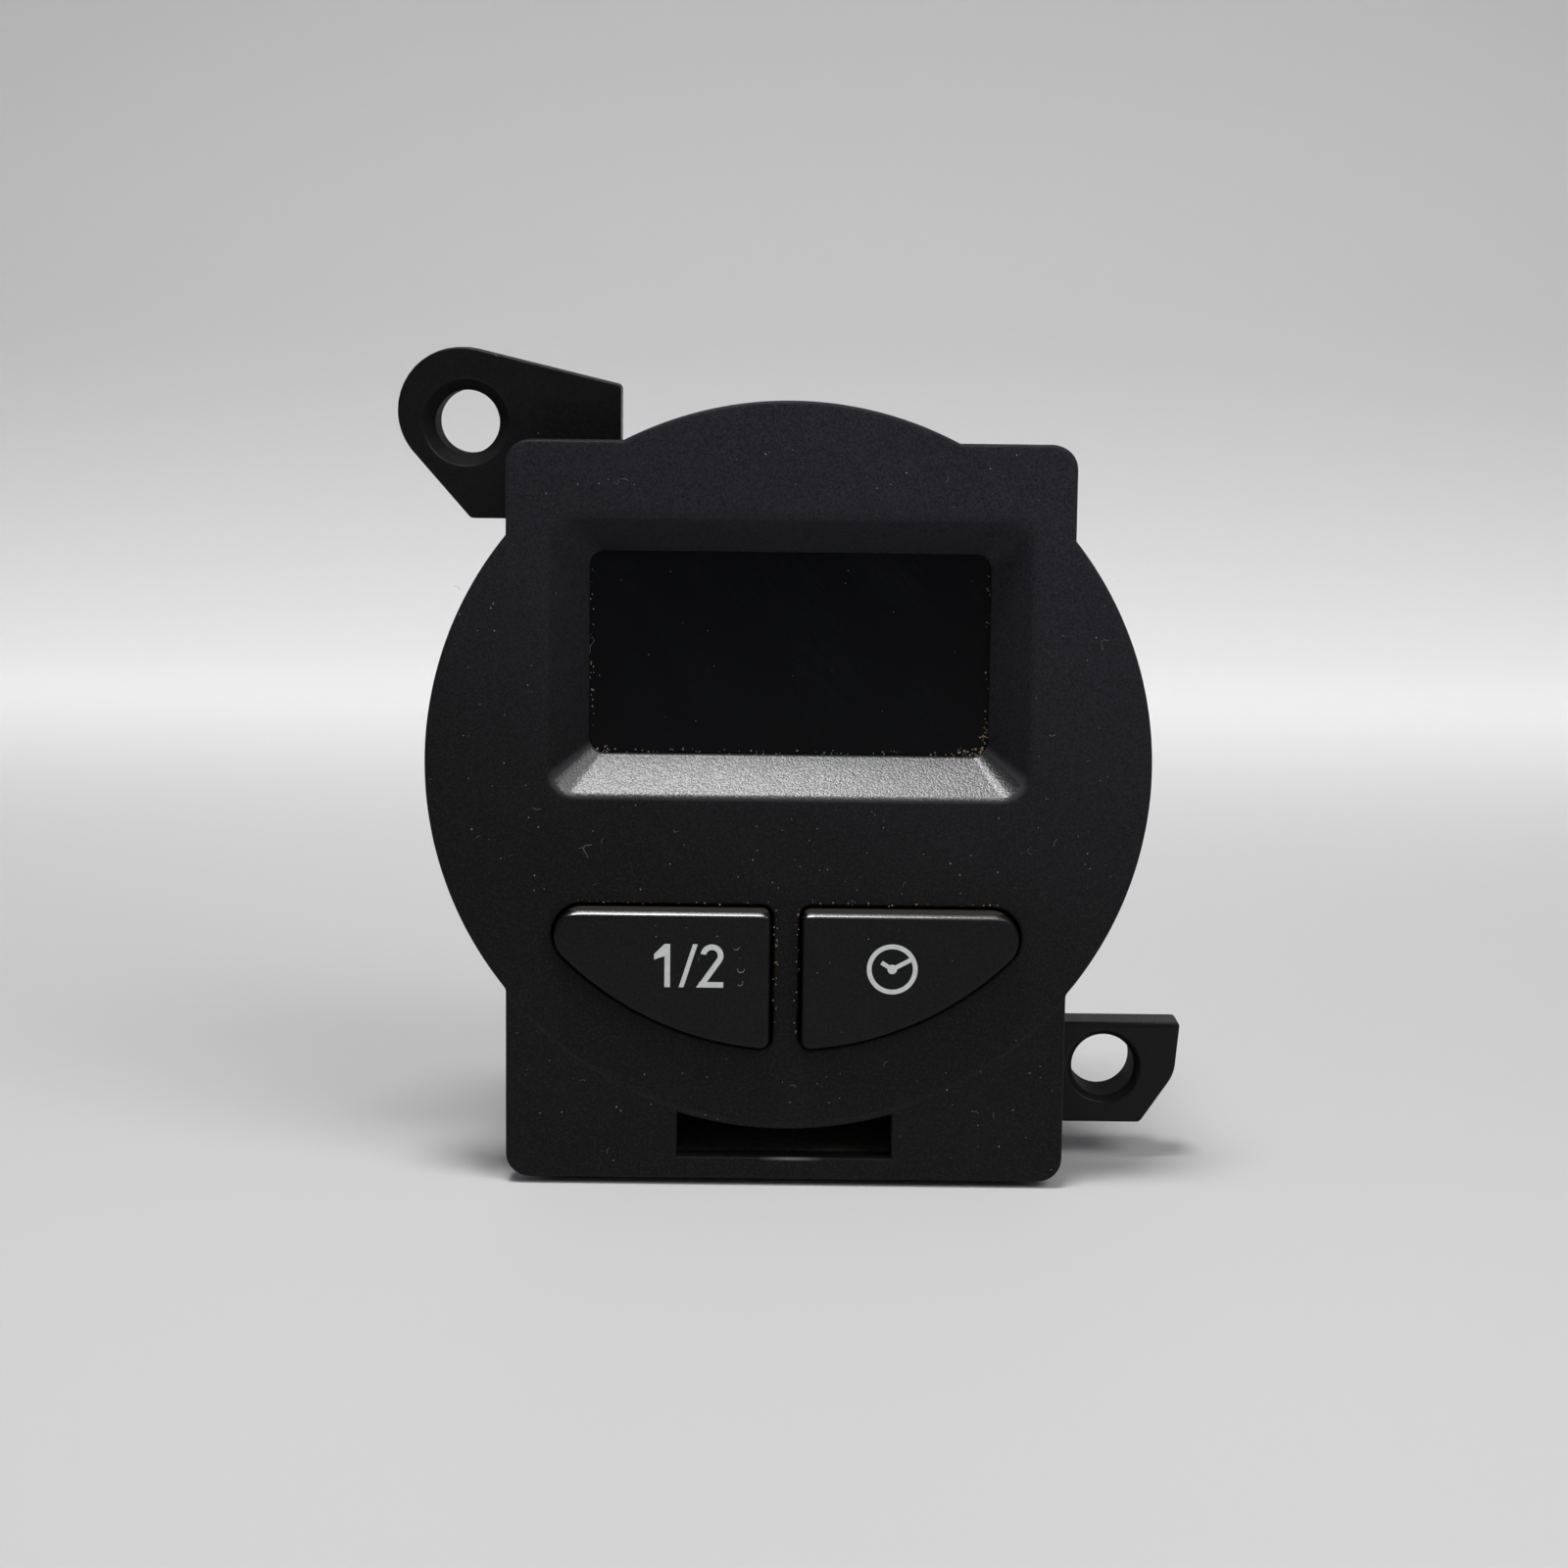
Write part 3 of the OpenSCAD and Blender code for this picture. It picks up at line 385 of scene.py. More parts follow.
    def lay(self, mask, colour=None, roughness=None):
        """Lays another colour or roughness over the shader where the mask is 1."""
        if colour is not None:
            mix = self.add("ShaderNodeMix", {"data_type": "RGBA"},
                           {0: mask, 6: self.current("Base Color"), 7: (*colour, 1)})
            self.tree.links.new(mix.outputs[2], self.shader.inputs["Base Color"])
        if roughness is not None:
            mix = self.add("ShaderNodeMix", {"data_type": "FLOAT"},
                           {0: mask, 2: self.current("Roughness"), 3: roughness})
            self.tree.links.new(mix.outputs[0], self.shader.inputs["Roughness"])

    def lay_metal(self, mask, colour, roughness):
        """Lays bare metal over the shader where the mask is 1."""
        self.lay(mask, colour, roughness)
        self.tree.links.new(mask, self.shader.inputs["Metallic"])

    def scuff(self, size, colour, lighter, roughness):
        """Small scuffed patches, so many times lighter than the colour."""
        self.lay(self.patches(size, 2.0, 0.45, 0.72), tuple(lighter * c for c in colour), roughness)

    def bump(self, height, depth):
        """Bump from a height of 0 to 1, depth in mm, on top of any bump that is there."""
        before = self.shader.inputs["Normal"]
        made = self.add("ShaderNodeBump", Strength=1.0, Distance=depth * mm, Height=height)
        if before.is_linked:
            self.tree.links.new(before.links[0].from_socket, made.inputs["Normal"])
        self.tree.links.new(made.outputs[0], before)


look = housing_plastic = Look("housing_plastic", housing_black, 0.34, 0.21, cloud=7, share=0.4,
                              grain=0.16, depth=0.010)
look.scuff(0.2, housing_black, 2.4, 0.46)
look.lay(look.times(look.looks_up(), look.patches(0.35, 5.0, 0.3, 0.75, 0.1, 0.5),
                    look.patches(6, 3.0, 0.35, 0.65, 0.5, 1.0)), housing_dust, 0.8)
look.lay(look.specks(1.6, 0.14, 0.3), (0.16, 0.15, 0.13), 0.9)
# The pale layer on the up-facing floor inside the tray is painted light as much as dust: it brightens the
# inside of the housing that shows through the slot.
x, y, z = look.place_parts()
inside = look.times(look.under(z, at_z(housing_foot + housing_wall + 0.3)),
                    look.under(look.off(x, at_x(0)), (housing_half - housing_wall + 0.2) * mm),
                    look.over(y, at_y(housing_front + 0.2)),
                    look.under(y, at_y(housing_floor + 0.2)), look.looks_up())
look.lay(look.times(inside, look.patches(0.8, 4.0, 0.3, 0.6, 0.5, 0.9)), (0.34, 0.32, 0.29), 0.9)
bore_plastic = Look("bore_plastic", (0.0085, 0.0080, 0.0086), 0.6, 0.05, cloud=1.5, share=0.5, gloss=0.10,
                    depth=0.012)

housing_outline = rounded_rect(2 * housing_half, housing_top - housing_foot, housing_corner,
                               (0, (housing_top + housing_foot) / 2))
inner_outline = grown(housing_outline, -housing_wall)
socket_way = rounded_rect(*(size + socket_play for size in socket_size), 0.6, (0, socket_z))
tray = softened([(inner_outline, housing_floor), (inner_outline, housing_front),
                 (housing_outline, housing_front), (housing_outline, housing_back),
                 (grown(housing_outline, -1.2), housing_back)], 0.15, 0.2, 0.7)
way = softened([(socket_way, housing_floor), (socket_way, housing_back),
                (grown(socket_way, 0.4), housing_back)], 0.2)
sunk = [(rounded_rect(*label_size, 1.0, (0, label_z)), label_depth)]
sunk += [(circle(mark_r, place, 24), mark_depth) for place in mark_places]
pits = [softened([(grown(outline, 0.2), housing_back), (outline, housing_back),
                  (outline, housing_back - depth), (grown(outline, -0.3), housing_back - depth)],
                 0.1, 0.1, steps=2) for outline, depth in sunk]
housing = solid(tray, [way], back_pits=pits)
for side in (-1, 1):
    for level in screw_levels:
        post, pilot = (circle(radius, (side * screw_x, level), 24) for radius in (post_r, pilot_r))
        add_solid(housing, [ring(post, post_front), ring(post, housing_floor + 0.1)],
                  front_pits=[[ring(pilot, post_front), ring(pilot, pilot_back)]])
    for radius, front in ((peg_r, post_front), (peg_tip_r, peg_tip_front)):
        peg = circle(radius, (side * screw_x, peg_z), 24)
        add_solid(housing, [ring(grown(peg, -0.2), front), ring(peg, front + 0.2),
                            ring(peg, housing_floor + 0.1)])
housing = to_object(housing, "housing_shell")
snap_windows = bmesh.new()
snap_window = rounded_rect(*snap_size, 0.15, (snap_y, 0), 3)
for side in (-1, 1):
    add_solid(snap_windows, [ring(snap_window, depth, lambda u, v, w: (side * w, u, v + side_snap_z))
                             for depth in side_cut])
    for end in (housing_top, housing_foot):
        add_solid(snap_windows, [ring(snap_window, depth, lambda u, v, w: (side * end_snap_x + v, u, w))
                                 for depth in (end - end_cut, end + end_cut)])
cut_away(housing, to_object(snap_windows, "snap_windows"))

# The ears and their ribs are drawn as the tool has them: the upper nose is one circle that meets
# the falling top edge, the side and the slant.
top_fall, slant, nose_reach, ear_foot, ear_right = 13.2, 48.7, 5.05, -7.0, 11.3
top_reach, under_reach = nose_reach + 0.3, nose_reach - 0.65
fall_sin, fall_cos = sin(radians(top_fall)), cos(radians(top_fall))
slant_sin, slant_cos = sin(radians(slant)), cos(radians(slant))
nose_r = ((under_reach - nose_reach * slant_sin
           + slant_cos / fall_cos * (top_reach + nose_reach * fall_sin))
          / (1 - slant_sin + slant_cos / fall_cos * (1 + fall_sin)))
upper_ear = rounded_outline([
    (ear_right, ear_foot, 0), (ear_right, (top_reach - ear_right * fall_sin) / fall_cos, 0.4),
    (-nose_reach, (top_reach + nose_reach * fall_sin) / fall_cos, nose_r),
    (-nose_reach, (-under_reach + nose_reach * slant_sin) / slant_cos, nose_r),
    ((-under_reach - ear_foot * slant_cos) / slant_sin, ear_foot, 0.5)])
lower_ear = rounded_outline([(-5.55, -4.3, 0), (2.85, -4.3, 0.5), (5.35, -0.6, 3.0),
                             (5.7, 3.4, 0.3), (-5.55, 3.4, 0)])
lower_collar = circle(collar_r)
lower_collar[:, 1] = np.minimum(lower_collar[:, 1], collar_cut)
ears = bmesh.new()
for outline, hole, sink, collar in ((upper_ear, upper_hole, upper_sink, circle(collar_r)),
                                    (lower_ear, lower_hole, lower_sink, lower_collar)):
    bore, mouth = circle(ear_hole_r, hole), circle(ear_hole_r + sink, hole)
    add_solid(ears, slab(outline + hole, ear_front, ear_back, 0.35, 0.25),
              [softened([(grown(mouth, 0.3), ear_front), (mouth, ear_front), (bore, ear_front + sink),
                         (bore, collar_back), (collar + hole, collar_back), (collar + hole, ear_back)],
                        0.2, 0.25, 0.2, 0.2, steps=3)])
rib_half, rib_inset, upper_rib_drop, lower_rib_drop = 0.75, 1, 5.9, 3.3
rib = np.array([(-rib_half, 12.1), (4.0, 12.1), (0.0, 18.2), (-rib_half, 18.2)])
for to in (lambda u, v, w: (-housing_half - u, v, upper_hole[1] - upper_rib_drop + w),
           lambda u, v, w: (upper_hole[0] + ear_right - rib_inset + w, v, housing_top + u),
           lambda u, v, w: (housing_half + u, v, lower_hole[1] - lower_rib_drop + w)):
    add_bar(ears, rib, -rib_half, rib_half, to, 0.15)
ears = to_object(ears, "ears")
joined = bmesh.new()
for part in (housing, ears):
    joined.from_mesh(part.data)
    bpy.data.objects.remove(part)
housing = paint(to_object(joined, "housing_shell"), housing_plastic, bore_plastic)
for face in housing.data.polygons:
    x, y, z = np.array(face.center / mm) - origin
    face.material_index = int(ear_front + 0.04 < y < collar_back - 0.05 and any(
        hypot(x - hole[0], z - hole[1]) < ear_hole_r + sink - 0.06
        for hole, sink in ((upper_hole, upper_sink), (lower_hole, lower_sink))))
place_piece(smooth(housing), "case", "housing_black", "rear_housing")

# Circuit board
# The board is glass-fibre sheet with copper tracks under green lacquer. It lies on the housing's
# posts, and its front carries two sets of gold-plated fingers, one behind each button.

track_step, track_edge = 0.5, 0.28


def span(node):
    """A solid's lowest and highest corners, in mm from the disc's centre on the face."""
    return [np.array(corner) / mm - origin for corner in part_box(node)]


def middle(node):
    return sum(span(node)) / 2


look = Look("board_lacquer", (0.004, 0.019, 0.009), 0.3)
x, y, z = look.place_parts()
lies_flat = look.over(look.noise(6, 0.0), 0.5)
stands = look.math("SUBTRACT", 1.0, lies_flat)
tracks = look.math("ADD", *(
    look.times(way, look.over(look.math("PINGPONG", value, track_step * mm), track_edge * mm))
    for way, value in ((lies_flat, z), (stands, x))))
look.lay(tracks, (0.008, 0.042, 0.018))
look.bump(tracks, 0.03)
look.coat("circuit_board")
Look("gold_finish", (0.65, 0.44, 0.15), 0.28, metallic=1.0).coat("contact_pads")

# Parts on the board
# The chips are black epoxy on tinned legs, the crystal a drawn steel can, and the big capacitor an
# aluminium can on a black foot. The small resistors and capacitors have tinned ends, and the lamps
# are white cases with a yellow filling.

tin = (0.62, 0.61, 0.58)
chip_half, regulator_half, capacitor_half, can_foot = 5.02, 1.77, 0.66, 0.92
resistor_length, resistor_step = 2.0, 2.6

mid = middle("microcontroller") + origin
look = Look("chip_epoxy", (0.012, 0.012, 0.013), 0.55, 0.4, grain=0.07)
x, y, z = look.place_parts()
look.lay_metal(look.math("MAXIMUM", look.beyond(x, mid[0], chip_half), look.beyond(z, mid[2], chip_half)),
               tin, 0.3)
look.coat("microcontroller")

look = Look("regulator_epoxy", (0.013, 0.013, 0.014), 0.5, 0.4, grain=0.07)
mid = middle("voltage_regulator") + origin
look.lay_metal(look.beyond(look.place_parts()[2], mid[2], regulator_half), tin, 0.32)
look.coat("voltage_regulator")

look = Look("drawn_steel", (0.56, 0.56, 0.57), 0.26, metallic=1.0, cloud=3, share=-0.15, gloss=0.12,
            grain=0.3, depth=0.004, drawn=(1, 0.05, 1))
look.coat("quartz_crystal")

look = Look("capacitor_can", (0.62, 0.63, 0.64), 0.3, metallic=1.0, cloud=0, grain=0.25, depth=0.004,
            drawn=(1, 0.06, 1))
foot = look.under(look.place_parts()[1], at_y(span("supply_capacitor")[0][1] + can_foot))
look.lay(foot, (0.012, 0.012, 0.013), 0.5)
look.tree.links.new(look.math("SUBTRACT", 1.0, foot), look.shader.inputs["Metallic"])
look.coat("supply_capacitor")

look = Look("resistor_glaze", (0.012, 0.012, 0.014), 0.25, cloud=1.0)
row_start = at_z(span("chip_resistors")[0][2] - 0.01)
row_place = look.math("MODULO", look.math("SUBTRACT", look.place_parts()[2], row_start), resistor_step * mm)
look.lay_metal(look.beyond(row_place, resistor_length / 2, resistor_length * 0.32), tin, 0.35)
look.coat("chip_resistors")

look = Look("capacitor_ceramic", (0.22, 0.13, 0.07), 0.4, cloud=1.0)
mid = middle("chip_capacitors") + origin
look.lay_metal(look.beyond(look.place_parts()[0], mid[0], capacitor_half), tin, 0.35)
look.coat("chip_capacitors")

look = Look("lamp_white", (0.74, 0.73, 0.66), 0.35, cloud=1.5)
look.lay(look.patches(0.9, 2.0, 0.5, 0.6, 0, 0.5), (0.72, 0.60, 0.28), 0.2)
look.coat("backlight_leds", "button_leds")

# Board screws
# Four zinc-plated pan-head screws with a cross recess hold the board to the housing's posts. Each is
# cold formed from wire, with a rolled thread.

board_front, head_r, head_t, shank_r, thread_r, thread_pitch = 12.0, 1.9, 1.3, 0.78, 0.95, 0.8
screw_length, thread_turns, tip_r = 8.0, 9, 0.4
arm, reach, recess_depth = 0.25, 1.1, 0.7


def new_tree(name, **inputs):
    """A tree of geometry nodes with named inputs. Returns the tree, its inputs and its output."""
    tree = bpy.data.node_groups.new(name, "GeometryNodeTree")
    for key, kind in {"Geometry": "Geometry", **inputs, "Piece": "Object", "Finish": "Material"}.items():
        tree.interface.new_socket(key, in_out="INPUT", socket_type="NodeSocket" + kind)
    tree.interface.new_socket("Geometry", in_out="OUTPUT", socket_type="NodeSocketGeometry")
    return tree, tree.nodes.new("NodeGroupInput").outputs, tree.nodes.new("NodeGroupOutput")


def end_tree(tree, given, output, points, **turns):
    """Ends a tree: a copy of the piece at each point, all in one plain mesh of one material."""
    one = add(tree, "GeometryNodeObjectInfo", Object=given["Piece"])
    copies = add(tree, "GeometryNodeInstanceOnPoints", Points=points, Instance=one.outputs["Geometry"],
                 **turns)
    plain = add(tree, "GeometryNodeRealizeInstances", Geometry=copies.outputs[0])
    dressed = add(tree, "GeometryNodeSetMaterial", Geometry=plain.outputs[0], Material=given["Finish"])
    tree.links.new(dressed.outputs[0], output.inputs[0])


def grow(tree, mesh, name, look, **values):
    """Runs a tree on a mesh with the named values, and leaves a plain piece."""
    piece = to_object(mesh, name)
    nodes = piece.modifiers.new("nodes", "NODES")
    nodes.node_group = tree
    values["Finish"] = look.material
    for item in tree.interface.items_tree:
        if item.in_out == "INPUT" and item.name in values:
            nodes[item.identifier] = values[item.name]
    baked(piece)
    for face in piece.data.polygons:
        face.material_index = 0
    return paint(piece, look)


grid_tree, given, output = new_tree(
    "pieces_on_a_grid", Columns="Int", Rows="Int", Width="Float", Height="Float", Level="Float")
grid = add(grid_tree, "GeometryNodeMeshGrid", None, {
    0: given["Width"], 1: given["Height"], 2: given["Columns"], 3: given["Rows"]})
raised = add(grid_tree, "ShaderNodeCombineXYZ", None, {2: given["Level"]})
upright = add(grid_tree, "GeometryNodeTransform", Geometry=grid.outputs[0],
              Translation=raised.outputs[0], Rotation=(radians(90), 0, 0))
end_tree(grid_tree, given, output, upright.outputs[0])


def set_out(name, one, look, columns, rows, width, height, level):
    """Repeats a piece on an upright grid about the disc's centre line, with its sizes in mm."""
    piece = grow(grid_tree, bmesh.new(), name, look, Piece=one, Columns=columns, Rows=rows,
                 Width=width * mm, Height=height * mm, Level=level * mm)
    bpy.data.objects.remove(one)
    return smooth(piece)


recess = np.array([(arm, reach), (-arm, reach), (-arm, arm), (-reach, arm), (-reach, -arm), (-arm, -arm),
                   (-arm, -reach), (arm, -reach), (arm, -arm), (reach, -arm), (reach, arm), (arm, arm)])
head_y = board_front - head_t
turned = [(1.45, head_y), (1.8, head_y + 0.3), (head_r, head_y + 0.7), (head_r, board_front)]
turned += [(radius, board_front + 0.3 + turn * thread_pitch + step) for turn in range(thread_turns)
           for radius, step in ((shank_r, 0), (thread_r, 0.3), (thread_r, 0.4))]
turned += [(tip_r, board_front + screw_length)]
screw = solid([ring(circle(radius, steps=16), depth) for radius, depth in turned],
              front_pits=[[ring(recess, head_y), ring(recess * 0.8, head_y + recess_depth)]])
zinc = Look("zinc", (0.55, 0.55, 0.57), 0.34, metallic=1.0, cloud=0.8, share=-0.2, gloss=0.15, grain=0.1,
            depth=0.004)
screws = set_out("board_screw_set", to_object(screw, "screw"), zinc, 2, 2, 2 * screw_x,
                 screw_levels[0] - screw_levels[1], sum(screw_levels) / 2)
place_piece(screws, "case", "screw_steel", "board_screws")

# Connector
# A black moulded socket stands on the board and comes out through the housing's back. Two slots in
# its upper wall key the plug, and twelve tinned pins in two rows pass through its floor.

socket_front, socket_floor, socket_rim = 13.6, 16.0, 27.0
room_size, key_slot_size, key_slot_x, key_slot_front = (17.0, 8.04), (2.0, 2.4), 4.25, 24.1
pin_width, pin_step, pin_columns, pin_tail, pin_tip = 0.64, 2.54, 6, 11.1, 22.0

look = socket_plastic = Look("socket_plastic", (0.012, 0.012, 0.0128), 0.42, 0.35, cloud=5, share=0.35,
                             gloss=0.1, grain=0.14, depth=0.008)
look.lay(look.times(look.looks_up(), look.patches(1.1, 4.0, 0.45, 0.75, 0, 0.4)), housing_dust, 0.8)
outer = rounded_rect(*socket_size, 0.5, (0, socket_z))
room = rounded_rect(*room_size, 0.3, (0, socket_z))
socket = solid(softened([(grown(outer, -0.1), socket_front), (outer, socket_front), (outer, socket_rim),
                         (room, socket_rim), (room, socket_floor), (grown(room, -0.3), socket_floor)],
                        0.1, 0.25, 0.25, 0.15))
key_slots = bmesh.new()
for side in (-1, 1):
    key_slot = rounded_rect(*key_slot_size, 0.2, (side * key_slot_x, socket_z + socket_size[1] / 2), 3)
    add_solid(key_slots, [ring(key_slot, key_slot_front), ring(key_slot, socket_rim + 1)])
socket = cut_away(to_object(socket, "plug_socket"), to_object(key_slots, "key_slots"))
place_piece(smooth(paint(socket, socket_plastic)), "case", "socket_black", "connector_socket")

blank = rounded_rect(pin_width, pin_width, 0.07, steps=2)
point = rounded_rect(0.3, 0.3, 0.05, steps=2)
pin = solid([ring(point, pin_tail), ring(blank, pin_tail + 0.3), ring(blank, pin_tip - 0.6),
             ring(point, pin_tip)])
tinning = Look("pin_tinning", (0.66, 0.63, 0.56), 0.27, metallic=1.0, cloud=1.2, share=-0.25, gloss=0.15,
               grain=0.2, depth=0.004, drawn=(1, 0.1, 1))
pins = set_out("socket_pins", to_object(pin, "pin"), tinning, pin_columns, 2, (pin_columns - 1) * pin_step,
               pin_step, socket_z)
place_piece(pins, "case", "pin_tin", "connector_pins")

# Keys
# A mat of translucent silicone lies on the board under the buttons, with two domes that fold as
# they are pressed. A pill of carbon-filled rubber under each dome closes the contact.

key_x, _, key_z = middle("right_key_dome")
mat_low, mat_high = span("keypad_mat")
dome_hole_r, lamp_hole_r, lamp_aside, lamp_above, pill_r = 3.2, 1.5, 5.4, 0.9, 1.5

silicone = Look("key_silicone", (0.42, 0.43, 0.41), 0.48, 0.4, cloud=3.0)
silicone.shader.inputs["Subsurface Weight"].default_value = 0.25
silicone.shader.inputs["Subsurface Radius"].default_value = (0.8 * mm, 0.8 * mm, 0.7 * mm)
carbon_rubber = Look("carbon_rubber", (0.010, 0.010, 0.011), 0.7, 0.3, cloud=1.0)

openings = [circle(radius, (side * place, level)) for side in (-1, 1) for radius, place, level in (
    (dome_hole_r, key_x, key_z), (lamp_hole_r, key_x + lamp_aside, key_z + lamp_above))]
mat = solid(slab(rounded_rect(*(mat_high - mat_low)[[0, 2]], 1.4, (0, key_z)), mat_low[1], mat_high[1],
                 0.4, 0.25),
            [slab(opening, mat_low[1], mat_high[1], -0.3, 0.15) for opening in openings])
make_piece(mat, "key_mat", silicone, "case", "silicone", "keypad_mat")

for side, place in (("left", (-key_x, key_z)), ("right", (key_x, key_z))):
    low, high = span(side + "_key_dome")
    pill_front, pill_back = (corner[1] for corner in span(side + "_contact_pill"))
    dome = solid(softened([(circle(radius, place, 40), depth) for radius, depth in (
        (0.6, pill_front), (1.5, pill_front), (1.5, low[1] + 0.8), (1.8, low[1] + 0.8), (3.2, high[1]),
        (3.8, high[1]), (2.4, low[1]), (1.2, low[1]))], 0.1, 0.2, 0.2, 0.2, 0.1, 0.3))
    dome = make_piece(dome, side + "_dome", silicone, "case", "silicone", side + "_key_dome", sharp=60)
    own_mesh(dome)
    make_piece(solid(slab(circle(pill_r, place, 32), pill_front, pill_back, 0.2, 0.1)),
               side + "_pill", carbon_rubber, side + "_button", "carbon", side + "_contact_pill")

# Display
# The display is a cell of two panes of glass between polarising films, with a diffuser behind it.
# A white moulded carrier holds the stack and the lamps on the board, striped rubber strips lead to
# the cell's lower pane, and a foam gasket seals it to the frame.

strip_step, foam_cell, gasket_width = 0.1, 0.22, 2.5

cell_glass = Look("display_glass", (0.72, 0.78, 0.76), 0.04, grain=2.0)
cell_glass.shader.inputs["Transmission Weight"].default_value = 0.85
cell_glass.coat("lcd_front_glass", "lcd_rear_glass")
Look("film", (0.055, 0.060, 0.060), 0.22, cloud=6.0, grain=0.5).coat("front_polariser", "rear_polariser")
Look("diffuser_film", (0.74, 0.74, 0.71), 0.5, cloud=6.0, grain=0.05).coat("light_diffuser")
Look("carrier_plastic", (0.66, 0.65, 0.60), 0.42, cloud=5.0).coat("display_carrier")

look = strip_rubber = Look("strip_rubber", (0.50, 0.20, 0.24), 0.55, 0.35, cloud=2.0)
layers = look.over(look.math("PINGPONG", look.place_parts()[0], strip_step * mm), strip_step / 2 * mm)
look.lay(layers, (0.014, 0.013, 0.014), 0.65)
look.bump(layers, 0.01)
for level in ("upper", "lower"):
    low, high = span(level + "_contact_strip")
    block = rounded_rect(*(high - low)[[0, 2]], 0.15, middle(level + "_contact_strip")[[0, 2]], 3)
    make_piece(solid(slab(block, low[1], high[1], 0.12, 0.1, 2)),
               level + "_strip", strip_rubber, "case", "strip_pink", level + "_contact_strip")

look = foam = Look("gasket_foam", (0.020, 0.020, 0.021), 0.9, 0.2, cloud=0, grain=0)
pores = look.cells(foam_cell)["Distance"]
look.lay(look.remap(pores, 0.2, 0.6), (0.045, 0.045, 0.047))
look.bump(pores, 0.08)
low, high = span("window_gasket")
rim = rounded_rect(*(high - low)[[0, 2]], 0.6, middle("window_gasket")[[0, 2]])
bulge = ((0.25, low[1]), (0.07, low[1] + 0.12), (0, (low[1] + high[1]) / 2), (0.07, high[1] - 0.12),
         (0.25, high[1]))
gasket = solid([ring(grown(rim, -inset), depth) for inset, depth in bulge],
               [[ring(grown(grown(rim, -gasket_width), inset), depth) for inset, depth in bulge]])
make_piece(gasket, "foam_gasket", foam, "case", "foam", "window_gasket", sharp=70)

# Bezel
# The bezel is a flat disc joined to an upright plate, moulded in one in black plastic with a fine
# matt grain. A sloped frame leads down to the window, two guides behind the face hold the
# buttons, and six hooked arms snap into the housing. A patchy bluish grey over its upper and
# right part is painted light, and painted highlights lie in the frame's lower corners and on the
# slot's lip.

disc_r, plate_half, plate_top, plate_bottom, plate_corner, hollow_r = 26.0, 20.2, 23.1, -30.2, 1.7, 0.6
plate_back, guide_back, slope_back, seat, pane_back = 2.2, 4.6, 2.8, 3.4, 4.6
window_size, window_z, mouth_grow, mouth_shift = (28.8, 14.7), 7.85, (5.8, 5.3), -0.05
well_gap, guide_wall = 0.2, 0.65
arch_x, arch_r, slot_foot = 7.8, 26.45, -28.6
snap_half = 2
face_black, slope_black = (0.0042, 0.0038, 0.0039), (0.0030, 0.0027, 0.0028)
painted_light_grey = (0.0265, 0.0270, 0.0345)


def face_outline():
    """The outline of disc and plate together, from the middle of the foot up the right side."""
    hollow = (plate_half + hollow_r,
              -sqrt((disc_r + hollow_r) ** 2 - (plate_half + hollow_r) ** 2))
    low = degrees(atan2(-hollow[1], hollow[0]))
    high, crown = degrees(acos(plate_half / disc_r)), degrees(asin(plate_top / disc_r))
    corner_x = plate_half - plate_corner
    right = np.vstack([
        arc((corner_x, plate_bottom + plate_corner), plate_corner, 270, 90, 8),
        arc(hollow, hollow_r, 180, -low, 5), arc((0, 0), disc_r, -low, low + high, 60)[1:],
        arc((corner_x, plate_top - plate_corner), plate_corner, 0, 90, 8),
        arc((0, 0), disc_r, crown, 90 - crown, 20)])
    return np.vstack([right, (right * (-1, 1))[-2::-1]])


def half_moon(grow=0.0, side=1):
    """The outline of a button, grown evenly: side is 1 for the right-hand one and -1 for the left."""
    sweep, sweep_z, top, near = 22.7 + grow, 2.3, -10.2 + grow, 1.15 - grow
    tip_r, corner_r = max(2.05 + grow, 0.2), max(0.65 + grow, 0.2)
    tip = (sqrt((sweep - tip_r) ** 2 - (top - tip_r - sweep_z) ** 2), top - tip_r)
    lower = (near + corner_r, sweep_z - sqrt((sweep - corner_r) ** 2 - (near + corner_r) ** 2))
    start, end = (degrees(atan2(z - sweep_z, x)) for x, z in (lower, tip))
    outline = np.vstack([
        arc(lower, corner_r, 180, 180 + start, 8),
        arc((0, sweep_z), sweep, start, end - start, 48)[1:-1],
        arc(tip, tip_r, end, 90 - end, 16), arc((near + corner_r, top - corner_r), corner_r, 90, 90, 8)])
    return outline if side > 0 else (outline * (-1, 1))[::-1]


def window_rect(grow_w, grow_h, radius, shift=0.0):
    return rounded_rect(window_size[0] + grow_w, window_size[1] + grow_h, radius, (0, window_z + shift))


outline = face_outline()
plate_wall = softened([(grown(outline, -0.7), 0), (outline, 0), (outline, plate_back),
                       (grown(outline, -0.5), plate_back)], 0.25, 0.2)
mouth = window_rect(*mouth_grow, 2.0, mouth_shift)
lip, pane_room, boss = window_rect(0, 0, 1.1), window_rect(3.0, 3.0, 0.6), window_rect(5.4, 5.4, 0.6)
frame_rings = softened([(grown(mouth, 1.0), 0), (mouth, 0), (lip, slope_back), (lip, seat),
                        (pane_room, seat), (pane_room, pane_back), (boss, pane_back),
                        (boss, plate_back)], 0.45, 0.07, 0, 0, 0, 0, steps=6)
wells = [softened([(half_moon(well_gap + grow, side), depth) for grow, depth in (
    (0.4, 0), (0, 0), (0, guide_back), (guide_wall, guide_back), (guide_wall, plate_back))], 0.25, 0, 0)
         for side in (-1, 1)]
arch = degrees(acos(arch_x / arch_r))
slot = np.vstack([[(-arch_x, slot_foot), (arch_x, slot_foot)],
                  arc((0, 0), arch_r, -arch, 2 * arch - 180, 24)])
slot_rings = softened([(grown(slot, 0.35), 0), (slot, 0), (slot, plate_back),
                       (grown(slot, 0.2), plate_back)], 0.16, 0.1)
bezel = solid(plate_wall, [frame_rings, *wells, slot_rings])
